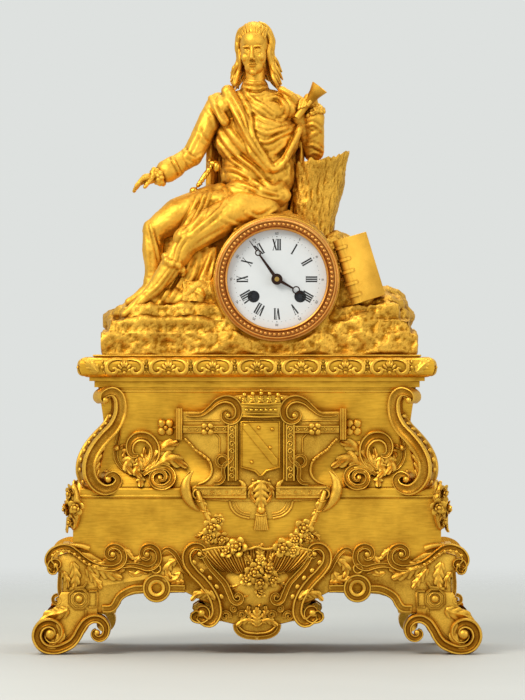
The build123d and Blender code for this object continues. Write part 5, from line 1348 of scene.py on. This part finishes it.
lump(legs, (-84, -18, 343, 9, 9, 8), (-57, -38, 334, 11.5, 10, 10), (-30, -14, 366, 26, 18, 10))
for k in range(11):
    a = math.tau * k / 11
    along = Vector((-0.58, 0, -0.82))
    side = Vector((0.82, 0, -0.58))
    spot = Vector((-67.5, -38, 313.5)) + side * math.cos(a) * 9.4 + Vector((0, 1, 0)) * math.sin(a) * 9.4
    spot += along * 1.6 * math.cos(3 * a)
    lump(legs, (*spot, 3.2, 3.2, 3.4))
chain(legs, [(-30, -16, 372), (-40, -24, 360), (-52, -32, 344), (-62, -34, 330), (-66, -32, 318)],
      [8, 8, 7.4, 6, 4])
cloth(legs, [(-74, -30, 318), (-54, -32, 326), (-32, -34, 328)],
      [(-90, -38, 277), (-62, -41, 279), (-38, -42, 290)], 3.0, 2.2, 4.2, 0.9)
cloth(legs, [(-90, -14, 340), (-60, -12, 345), (-20, -14, 350)],
      [(-92, -20, 300), (-60, -24, 286), (-30, -24, 292)], 3.5, 3.0, 4.0, 2.2)
lump(legs, (-46, -40, 288, 5, 5, 8), (-66, -36, 286, 14, 7, 8), (-84, -32, 284, 9, 8, 6))
legs = fuse(legs, 0.85, 4)
press(legs, (
    ([(-54, 337), (-38, 350), (-26, 359)], 1.4, 1.8), ([(-67, 312), (-64, 326), (-58, 335)], 1.5, 1.4),
    ([(-89, 288), (-79, 297), (-68, 312)], 1.0, 1.0), ([(-38, 374), (-44, 355), (-58, 339)], 1.8, 1.3),
    ([(-47, 371), (-54, 355), (-66, 333)], 1.8, 1.4), ([(-42, 372), (-50, 352), (-62, 336)], 1.2, 1.1),
    ([(-87, 346), (-82, 330), (-78, 315)], 1.8, 1.1), ([(-92, 340), (-89, 322), (-88, 305)], 0.8, 1.3),
    ([(-47, 323), (-50, 307), (-58, 291), (-66, 280)], 1.3, 1.6),
    ([(-35, 326), (-42, 310), (-54, 285)], 1.2, 1.6), ([(-33, 323), (-36, 307), (-40, 291)], 1.0, 1.5),
    ([(-53, 318), (-62, 300), (-72, 282)], 1.6, 1.4), ([(-60, 312), (-70, 296), (-80, 280)], 1.4, 1.2),
    ([(-90, 278), (-79, 278), (-66, 279), (-56, 281), (-50, 291), (-43, 287), (-39, 291)], 1.2, 0.9),
    ([(-8, 355), (1, 350), (10, 354), (18, 361)], 1.8, 1.5), ([(-30, 352), (-14, 344), (4, 343)], 1.0, 1.6),
    ([(-52, 324), (-40, 332), (-26, 340)], 1.1, 1.5), ([(-100, 281), (-95, 287), (-90, 292)], 0.8, 0.8),
    ([(-24, 368), (-30, 358), (-38, 350)], 1.4, 1.3)))
roughen(legs, ((7, 0.35), (2.2, 0.22)))
for vert in legs.verts:
    if math.hypot(vert.co.x - DIAL.x, vert.co.z - DIAL.z) < 50.5 and vert.co.y < -57:
        vert.co.y = min(vert.co.y, -58.0)
cast(legs, "crossed_legs_and_cloak", satin, "figure_legs")


# ---- seated figure: arms, hands and sword hilt ---------------------------------
# Each arm is cast with its turned-back cuff and lace ruffle and pinned at the
# shoulder. The left elbow rests on the stump; a sword hilt shows at the hip.
def hand(mesh, wrist, knuckles, tips, thumb, size=1.0):
    """A hand: a palm from wrist to knuckles, four bent fingers, and a thumb."""
    chain(mesh, [wrist, knuckles], [3.6 * size, 3.9 * size])
    wrist, knuckles, tips = Vector(wrist), Vector(knuckles), Vector(tips)
    across = (knuckles - wrist).cross(Vector((0, 0.4, 1))).normalized()
    for k in range(4):
        offset = across * (k - 1.5) * 2.4 * size
        joint = knuckles.lerp(tips, 0.5) + offset * 1.05 + Vector((0, 0, 1.4 * size))
        chain(mesh, [knuckles + offset, joint, tips + offset * 0.9 - Vector((0, 0, 0.5 * k))],
              [1.75 * size, 1.55 * size, 1.15 * size])
    chain(mesh, [wrist.lerp(knuckles, 0.3) - across * 3 * size, thumb], [1.9 * size, 1.3 * size])


def ruffle(mesh, centre, axis, radius, size, count=12):
    """A gathered lace ruffle round a wrist."""
    axis = Vector(axis).normalized()
    side = axis.orthogonal().normalized()
    other = axis.cross(side)
    for ring, push in ((1.0, 0.0), (0.8, 2.2)):
        for k in range(count):
            a = math.tau * (k + ring) / count
            spot = (Vector(centre) + (side * math.cos(a) + other * math.sin(a)) * radius * ring
                    + axis * (push + 1.1 * math.cos(3 * a)))
            lump(mesh, (*spot, size, size, size))


right = bmesh.new()
chain(right, [(-31, -1, 444), (-38, -3, 432), (-45, -6, 418), (-53, -10, 402)], [10.5, 10, 9.0, 8.8])
chain(right, [(-53, -10, 402), (-63, -15, 396), (-73, -19.5, 389.5)], [8.8, 8.2, 8.6])
chain(right, [(-67, -17, 393), (-73, -19.6, 389.4)], [9.4, 9.6])
right = fuse(right, 0.8, 3)
press(right, (([(-42, 442), (-36, 434), (-33, 424)], 0.9, 1.5),
              ([(-48, 426), (-43, 415), (-38, 411)], 0.9, 1.4),
              ([(-61, 409), (-55, 401), (-46, 397)], 1.4, 1.3),
              ([(-57, 405), (-50, 400), (-42, 404)], 1.0, 1.2),
              ([(-64, 401), (-60, 397), (-57, 390)], 0.8, 1.2),
              ([(-70, 402), (-65, 393), (-61, 384)], 1.7, 1.0),
              ([(-45, 432), (-50, 417), (-58, 402)], 0.8, 1.6)))
roughen(right, ((5, 0.3), (2, 0.2)))
wrist = bmesh.new()
hand(wrist, (-83, -23, 384), (-90, -25.5, 382.4), (-99, -28, 375.5), (-91, -31, 376), 1.2)
ruffle(wrist, (-80.0, -22.6, 384.8), (-1, -0.3, -0.6), 6.8, 2.4)
wrist = fuse(wrist, 0.5, 2)
roughen(wrist, ((1.6, 0.35),))
add_copy(right, wrist)
wrist.free()
cast(right, "right_arm_and_hand", satin, "figure_right_arm")

left = bmesh.new()
chain(left, [(30, 0, 443), (37, 3, 430), (43, 6, 416), (46, 6, 407)], [10.5, 10, 9.4, 9.0])
chain(left, [(46, 6, 407), (46.4, 1, 420), (46.6, -4, 434)], [9.0, 8.6, 7.4])
chain(left, [(46.5, -2, 428), (46.6, -3.6, 433)], [8.4, 8.6])
left = fuse(left, 0.8, 3)
press(left, (([(39, 426), (46, 428), (54, 422)], 1.2, 1.2), ([(38, 416), (46, 420), (53, 424)], 0.9, 1.4),
             ([(38, 410), (46, 411), (55, 405)], 1.1, 1.3), ([(40, 402), (47, 405), (54, 402)], 0.8, 1.2)))
roughen(left, ((5, 0.3), (2, 0.25)))
grip = bmesh.new()
hand(grip, (45.4, -6, 442), (42.4, -12, 448.4), (37.6, -16, 442.4), (46.4, -16, 451), 1.2)
ruffle(grip, (46.4, -4.6, 438.4), (-0.2, -0.2, 1), 7.4, 2.4)
grip = fuse(grip, 0.5, 2)
roughen(grip, ((1.6, 0.35),))
add_copy(left, grip)
grip.free()
cast(left, "left_arm_and_hand", satin, "figure_left_arm")

paper_roll = bmesh.new()
turned(paper_roll, [(r, 0, z) for r, z in ((0.0, 0), (3.0, 0), (3.0, 8), (3.6, 17), (5.0, 24), (7.4, 31),
                                           (6.7, 31), (4.4, 24), (2.8, 18), (0.0, 18))],
       (0, 0, 0), (0, 0, 1), closed=False)
bmesh.ops.remove_doubles(paper_roll, verts=paper_roll.verts[:], dist=1e-4)
for turn in range(3):
    coil = [(1.4 + 0.10 * (k + 12 * turn)) for k in range(13)]
    sweep_band(paper_roll, [(r * math.cos(math.tau * k / 12), r * math.sin(math.tau * k / 12), 24.5) for k,
                            r in enumerate(coil)], 0.7, round_bar, resolution=3)
aim = Vector((0.60, -0.10, 0.79)).to_track_quat("Z", "Y").to_matrix().to_4x4()
bmesh.ops.transform(paper_roll, matrix=Matrix.Translation((32.4, -12, 433.4)) @ aim,
                    verts=paper_roll.verts[:])
cast(paper_roll, "rolled_paper_sheet", satin, "rolled_paper")

hilt = bmesh.new()
chain(hilt, [(-40, -8, 398), (-46, -11, 390), (-52, -13, 381)], [2.0, 2.2, 1.9])
lump(hilt, (-55.6, -14, 376.4, 3.6, 3.4, 3.4), (-39.6, -8, 399, 4.6, 3.6, 3.0),
     (-37, -12, 396, 2.6, 2.2, 4.2), (-43, -3, 401, 2.4, 2.2, 3.4))
for k in range(6):
    lump(hilt, (-42.6 - 1.7 * k, -9.4 - 0.7 * k, 394.6 - 2.6 * k, 2.9, 2.7, 0.8))
hilt = fuse(hilt, 0.5, 2)
bmesh.ops.translate(hilt, vec=(4, -1, -3), verts=hilt.verts[:])
cast(hilt, "sword_hilt", burnished)


# ---- seated figure: head and hair ----------------------------------------------
# A calm, plain face of ordinary proportions: the eyes lie halfway up the head and
# the base of the nose halfway from brow to chin. Waved hair falls to the shoulders.
head = bmesh.new()
lump(head, (0, 3, 25, 11.6, 14, 15), (0, -2.6, 17, 9.8, 9.6, 14.4), (0, -4.6, 7.4, 7.2, 6.8, 6.4),
     (0, -9.4, 2.8, 3.0, 2.6, 2.6), (0, -4.0, 28, 9.2, 9.4, 9.0))
for side in (-1, 1):
    lump(head, (side * 5.9, -7.6, 14.8, 3.3, 3.4, 3.6), (side * 4.5, -11.0, 22.8, 3.5, 1.5, 1.1),
         (side * 4.5, -9.6, 19.7, 2.3, 1.9, 1.9), (side * 1.75, -13.0, 12.9, 1.15, 1.5, 1.1),
         (side * 1.3, -12.3, 9.5, 1.9, 1.1, 0.75), (side * 1.2, -12.2, 8.0, 1.9, 1.2, 0.85),
         (side * 10.6, 0.5, 17.5, 1.4, 2.6, 3.6))
chain(head, [(0, -11.4, 22), (0, -12.6, 18.5), (0, -14.3, 14.2)], [1.35, 1.35, 1.7])
chain(head, [(0, 1, 6), (0, 1.5, -8)], [7.4, 7.8])
head = fuse(head, 0.42, 2)
press(head, (
    ([(-7.0, 21.3), (-4.6, 22.2), (-2.2, 21.0)], -0.55, 0.7),
    ([(7.0, 21.3), (4.6, 22.2), (2.2, 21.0)], -0.55, 0.7),
    ([(-7.0, 20.0), (-4.5, 21.1), (-2.3, 19.7)], 0.45, 0.42),
    ([(7.0, 20.0), (4.5, 21.1), (2.3, 19.7)], 0.45, 0.42),
    ([(-6.6, 19.0), (-4.5, 18.2), (-2.5, 19.1)], 0.34, 0.42),
    ([(6.6, 19.0), (4.5, 18.2), (2.5, 19.1)], 0.34, 0.42),
    ([(-6.4, 17.0), (-4.0, 16.2), (-2.4, 17.2)], -0.25, 0.6),
    ([(6.4, 17.0), (4.0, 16.2), (2.4, 17.2)], -0.25, 0.6),
    ([(-3.2, 8.75), (0, 8.9), (3.2, 8.75)], -0.6, 0.38), ([(-1.8, 5.9), (0, 5.7), (1.8, 5.9)], -0.4, 0.7),
    ([(-2.6, 13.4), (-3.6, 11.4), (-3.9, 9.6)], -0.25, 0.6),
    ([(2.6, 13.4), (3.6, 11.4), (3.9, 9.6)], -0.25, 0.6),
    ([(-1.2, 11.9), (-0.9, 11.8)], -0.5, 0.4), ([(1.2, 11.9), (0.9, 11.8)], -0.5, 0.4),
    ([(0, 11.6), (0, 10.4)], -0.25, 0.4)))


def strand(mesh, points, radii):
    """A lock of hair: a tapering tube through points in space."""
    smooth = eased_line(points, radii, (0, 0.25, 0.5, 0.75))
    rings = []
    for k, (point, radius) in enumerate(smooth):
        ahead = (smooth[min(k + 1, len(smooth) - 1)][0] - smooth[max(k - 1, 0)][0]).normalized()
        side = ahead.cross(Vector((0.1, 0.97, 0.2))).normalized()
        other = ahead.cross(side)
        rings.append([mesh.verts.new(point + (side * math.cos(a) + other * math.sin(a)) * radius)
                      for a in (math.tau * j / 8 for j in range(8))])
    skin_over(mesh, rings)


chance = Random(23)
hair = bmesh.new()
lump(hair, (0, 4.6, 26.4, 11.6, 13.0, 13.8), (0, 7.5, 12, 11.0, 8.6, 14))
for layer, count in ((0, 15), (1, 13), (2, 9)):
    for side in (-1, 1):
        for k in range(count):
            a = math.radians((-12, -4, 4)[layer] + (102 - 6 * layer) * k / (count - 1))
            c, s = side * math.cos(a), math.sin(a)
            grow = 1 + 0.075 * layer
            phase, pitch = chance.uniform(0, math.tau), chance.uniform(15, 20)
            length = chance.uniform(30, 37) - 4 * layer - 4 * max(0, s)
            lock = []
            for j in range(12):
                t = j / 11
                over = min(1.0, t / 0.4)
                polar = math.radians(14 + 78 * over)
                fall = max(0.0, t - 0.4) / 0.6
                reach = 12.2 * grow * math.sin(polar) * (1 - 0.10 * math.sin(math.pi * min(1, fall * 1.3)))
                reach += 6.4 * fall ** 2.2 * (0.5 + 0.5 * abs(c))
                z = 25.5 + 15.0 * grow * math.cos(polar) - length * fall
                swing = (0.6 + 1.9 * t ** 0.8) * math.sin(phase + t * pitch)
                lock.append((c * reach - s * side * swing, 3.4 + s * reach * 1.12 + abs(c) * swing,
                             z + 0.8 * math.cos(phase + t * pitch)))
            strand(hair, lock, [1.2, 1.8, 2.1, 2.2, 2.2, 2.2, 2.1, 2.1, 2.0, 1.8, 1.4, 0.6])
for k in range(17):
    x = -8.8 + 1.1 * k + chance.uniform(-0.3, 0.3)
    drop = 0.055 * x * x
    wave = chance.uniform(-0.9, 0.9)
    strand(hair, [(x * 0.95, -9.4 + drop, 31.6 - drop * 0.8), (x + wave, -9.6 + drop, 35.2 - drop),
                  (x * 1.05 - wave, -6.6 + drop, 39.2 - drop), (x * 1.1 + wave, -1.0, 42.0 - drop * 1.1),
                  (x * 1.12 - wave, 5.0, 41.4 - drop * 1.2), (x * 1.1, 11.0, 37.0 - drop * 1.2)],
                  [0.6, 1.3, 1.6, 1.6, 1.4, 0.8])
pose = (Matrix.Translation((-1.6, -2.5, 467.4)) @ Matrix.Rotation(math.radians(-9), 4, "Z")
        @ Matrix.Rotation(math.radians(-2), 4, "Y") @ Matrix.Diagonal((1.06, 1.06, 1.03, 1)))
add_copy(head, hair)
hair.free()
bmesh.ops.transform(head, matrix=pose, verts=head.verts[:])
cast(head, "head_with_waved_hair", satin, "figure_head")


# ---- bezel ---------------------------------------------------------------------
# A turned bezel with a coppery gilding holds the dial. A row of beads runs in the
# channel between its inner lip and its rim.
copper = gilding("worn_coppery_gilding", "#EAAA56", "#A8662C", (0.34, 0.52), 0.8, 0.06)
bezel_low = box_of("bezel")[0]
FACE_Y = bezel_low.y
ring = bmesh.new()
profile = [(40.0, -50), (40.0, FACE_Y + 0.9), (40.6, FACE_Y + 0.2), (41.4, FACE_Y + 0.1),
           (42.0, FACE_Y + 1.0),
           (42.6, FACE_Y + 1.9), (46.2, FACE_Y + 1.9), (46.7, FACE_Y + 1.0), (47.5, FACE_Y + 0.9),
           (48.2, FACE_Y + 1.6), (48.6, FACE_Y + 2.8), (49.7, FACE_Y + 3.2), (50.0, FACE_Y + 4.4),
           (50.0, -50)]
turned(ring, [(DIAL.x + r, y, DIAL.z) for r, y in profile], DIAL, (0, 1, 0), 120)
BEZEL_BEADS = 76
for k in range(BEZEL_BEADS):
    a = math.tau * (k + 0.5) / BEZEL_BEADS
    place = (Matrix.Translation((DIAL.x + 44.4 * math.sin(a), FACE_Y + 1.7, DIAL.z + 44.4 * math.cos(a)))
             @ Matrix.Rotation(a, 4, "Y") @ Matrix.Diagonal((1.5, 0.9, 1.45, 1)))
    bmesh.ops.create_uvsphere(ring, u_segments=12, v_segments=8, radius=1, matrix=place)
cast(ring, "beaded_bezel", copper, "bezel", slot="bezel_gilding")


# ---- dial ----------------------------------------------------------------------
# White vitreous enamel on copper, faintly domed in its gloss, with Roman hours
# and small Arabic minutes fired on in black enamel.
enamel, tree, output, place = new_material("white_vitreous_enamel")
haze = add_node(tree, "ShaderNodeTexNoise", {"Scale": 1 / 0.012, "Detail": 3.0}, {"Vector": place})
white = add_node(tree, "ShaderNodeMix", {"data_type": "RGBA", 6: hexcolour("#CDD1D3"),
                                         7: hexcolour("#D5D8DA")},
                 {0: haze.outputs["Fac"]})
gloss = add_node(tree, "ShaderNodeMapRange", {"To Min": 0.16, "To Max": 0.26},
                 {"Value": haze.outputs["Fac"]})
wave = add_node(tree, "ShaderNodeBump", {"Strength": 1.0, "Distance": 0.00004},
                {"Height": haze.outputs["Fac"]})
glass = add_node(tree, "ShaderNodeBsdfPrincipled", {"IOR": 1.5},
                 {"Base Color": white.outputs[2], "Roughness": gloss.outputs[0], "Normal": wave.outputs[0]})
tree.links.new(glass.outputs[0], output.inputs[0])
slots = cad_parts["dial"].data.materials
slots.clear()
slots.append(enamel)

ink, tree, output, place = new_material("black_fired_enamel")
fade = add_node(tree, "ShaderNodeTexNoise", {"Scale": 1 / 0.003, "Detail": 2.0}, {"Vector": place})
black = add_node(tree, "ShaderNodeMix", {"data_type": "RGBA", 6: hexcolour("#0C0B0A"),
                                         7: hexcolour("#1C1A18")},
                 {0: fade.outputs["Fac"]})
sheen = add_node(tree, "ShaderNodeMapRange", {"To Min": 0.25, "To Max": 0.40},
                 {"Value": fade.outputs["Fac"]})
paint = add_node(tree, "ShaderNodeBsdfPrincipled", {}, {"Base Color": black.outputs[2],
                                                        "Roughness": sheen.outputs[0]})
tree.links.new(paint.outputs[0], output.inputs[0])

dial_low, dial_high = box_of("dial")
marks = bmesh.new()


def stroke(mesh, x0, y0, x1, y1, wide, turn, reach):
    """A straight stroke of a numeral, drawn upright at twelve and turned to its hour."""
    middle, span = Vector(((x0 + x1) / 2, (y0 + y1) / 2, 0)), Vector((x1 - x0, y1 - y0, 0))
    place = (Matrix.Rotation(-turn, 4, "Z") @ Matrix.Translation((0, reach, 0)) @ Matrix.Translation(middle)
             @ Matrix.Rotation(math.atan2(span.y, span.x), 4, "Z")
             @ Matrix.Diagonal((span.length, wide, 0.06, 1)))
    bmesh.ops.create_cube(mesh, size=1, matrix=place)


HOUR_RING = 27.9
NUMERALS = ("XII", "I", "II", "III", "IIII", "V", "VI", "VII", "VIII", "IX", "X", "XI")
WIDE = {"I": 1.75, "V": 3.3, "X": 3.5}
for hour, text in enumerate(NUMERALS):
    turn = math.tau * hour / 12
    x = -sum(WIDE[letter] for letter in text) / 2
    for letter in text:
        w = WIDE[letter]
        left_x, right_x, mid_x = x + 0.35, x + w - 0.35, x + w / 2
        if letter == "I":
            stroke(marks, mid_x, -4.4, mid_x, 4.4, 1.2, turn, HOUR_RING)
            for y in (-4.45, 4.45):
                stroke(marks, mid_x - 0.85, y, mid_x + 0.85, y, 0.3, turn, HOUR_RING)
        if letter == "V":
            stroke(marks, left_x + 0.2, 4.4, mid_x, -4.4, 1.2, turn, HOUR_RING)
            stroke(marks, right_x - 0.1, 4.4, mid_x + 0.1, -4.4, 0.46, turn, HOUR_RING)
            for cx in (left_x + 0.2, right_x - 0.1):
                stroke(marks, cx - 0.7, 4.45, cx + 0.7, 4.45, 0.3, turn, HOUR_RING)
        if letter == "X":
            stroke(marks, left_x + 0.1, 4.4, right_x - 0.1, -4.4, 1.2, turn, HOUR_RING)
            stroke(marks, right_x - 0.1, 4.4, left_x + 0.1, -4.4, 0.46, turn, HOUR_RING)
            for cx in (left_x + 0.1, right_x - 0.1):
                for y in (-4.45, 4.45):
                    stroke(marks, cx - 0.7, y, cx + 0.7, y, 0.3, turn, HOUR_RING)
        x += w
for minute in range(60):
    a = math.tau * minute / 60
    size = 0.42 if minute % 5 == 0 else 0.24
    place = Matrix.Translation((34.3 * math.sin(a), 34.3 * math.cos(a), 0))
    bmesh.ops.create_cone(marks, cap_ends=True, segments=12, radius1=size, radius2=size, depth=0.06,
                          matrix=place)
# Arabic minutes, as strokes on a seven-part figure three units wide and five tall
PARTS = {"a": (0, 5, 3, 5), "b": (3, 5, 3, 2.5), "c": (3, 2.5, 3, 0), "d": (0, 0, 3, 0),
         "e": (0, 0, 0, 2.5),
         "f": (0, 2.5, 0, 5), "g": (0, 2.5, 3, 2.5)}
FIGURES = {"0": "abcdef", "1": "bc", "2": "abged", "3": "abgcd", "4": "fgbc", "5": "afgcd", "6": "afgedc"}
for k in range(12):
    text = str(5 * k or 60)
    turn = math.tau * k / 12
    for j, digit in enumerate(text):
        shift = (j - len(text) / 2) * 1.35 + 0.2
        for part in FIGURES[digit]:
            x0, y0, x1, y1 = (0.30 * value for value in PARTS[part])
            stroke(marks, shift + x0, y0, shift + x1, y1, 0.26, turn, 36.1)
face_plane = Matrix(((1, 0, 0, DIAL.x), (0, 0, -1, dial_low.y - 0.03), (0, 1, 0, DIAL.z), (0, 0, 0, 1)))
bmesh.ops.transform(marks, matrix=face_plane, verts=marks.verts[:])
cast(marks, "hour_and_minute_marks", ink, slot="enamel", smooth=30)

HOLE_OUT, HOLE_DOWN = 18.8, 13.9      # the winding holes, from the middle of the dial
# Painted shade: a black sleeve lines each winding hole, from the face of the dial to behind it, so that the
# holes read dark as in shade.
hole_shade_sleeves = bmesh.new()
for side in (-1, 1):
    hole_x, hole_z = DIAL.x + side * HOLE_OUT, DIAL.z - HOLE_DOWN
    lip, end = dial_low.y - 0.25, dial_high.y + 5
    turned(hole_shade_sleeves, [(hole_x + r, y, hole_z) for r,
                     y in ((4.75, lip), (4.1, lip), (4.1, end), (4.75, end))],
           (hole_x, 0, hole_z), (0, 1, 0))
cast(hole_shade_sleeves, "winding_hole_painted_shade_sleeves", ink, slot="enamel", smooth=30)


# ---- hands and movement --------------------------------------------------------
# The hands are browned steel. The plates, wheels and barrels are lacquered brass,
# the pinions and arbors steel, the suspension and springs blued, the bell bronze.
def metal(name, bright, deep, rough, lines_mm, depth_mm, stretch=(1, 1, 1)):
    """A machined metal with its turning or draw-filing lines and a little tarnish."""
    material, tree, output, place = new_material(name)
    tarnish = add_node(tree, "ShaderNodeTexNoise", {"Scale": 1 / 0.008, "Detail": 4.0}, {"Vector": place})
    tone = add_node(tree, "ShaderNodeMix", {"data_type": "RGBA", 6: hexcolour(bright), 7: hexcolour(deep)},
                    {0: tarnish.outputs["Fac"]})
    polish = add_node(tree, "ShaderNodeMapRange", {"To Min": rough[0], "To Max": rough[1]},
                      {"Value": tarnish.outputs["Fac"]})
    turned = add_node(tree, "ShaderNodeMapping", {"Scale": stretch}, {"Vector": place})
    lines = add_node(tree, "ShaderNodeTexNoise", {"Scale": 1000 / lines_mm, "Detail": 2.0},
                     {"Vector": turned.outputs[0]})
    bump = add_node(tree, "ShaderNodeBump", {"Strength": 1.0, "Distance": depth_mm / 1000},
                    {"Height": lines.outputs["Fac"]})
    shader = add_node(tree, "ShaderNodeBsdfPrincipled", {"Metallic": 1.0},
                      {"Base Color": tone.outputs[2], "Roughness": polish.outputs[0],
                       "Normal": bump.outputs[0]})
    tree.links.new(shader.outputs[0], output.inputs[0])
    return material


finishes = {"movement_brass": metal("lacquered_brass", "#D9B56A", "#A37C3C", (0.22, 0.40), 0.4, 0.02,
                                    (1, 0.1, 1)),
            # the steel is near black, far darker than polished steel: partly tempered steel's own darkness,
            # partly painted shade for the arbors and ratchets seen in the winding holes
            "steel": metal("steel_with_painted_shade", "#4E4F52", "#2A2B2D", (0.18, 0.34), 0.3, 0.01, (1, 0.1, 1)),
            "spring_steel": metal("blued_spring_steel", "#3C4A6E", "#232B40", (0.22, 0.38), 0.3, 0.01),
            "browned_steel": metal("browned_steel", "#4A3730", "#2A1E1B", (0.30, 0.48), 0.3, 0.015),
            "bell_metal": metal("bell_bronze", "#C9A070", "#8C6437", (0.22, 0.42), 0.35, 0.02,
                                (0.1, 1, 0.1)),
            "bezel_gilding": copper, "enamel": enamel, "gilt_bronze": brushed}
for name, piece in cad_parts.items():
    materials = piece.data.materials
    wanted = [finishes.get(slot.name.split(".")[0]) if slot else None for slot in materials]
    for k, finish in enumerate(wanted):
        if finish:
            materials[k] = finish
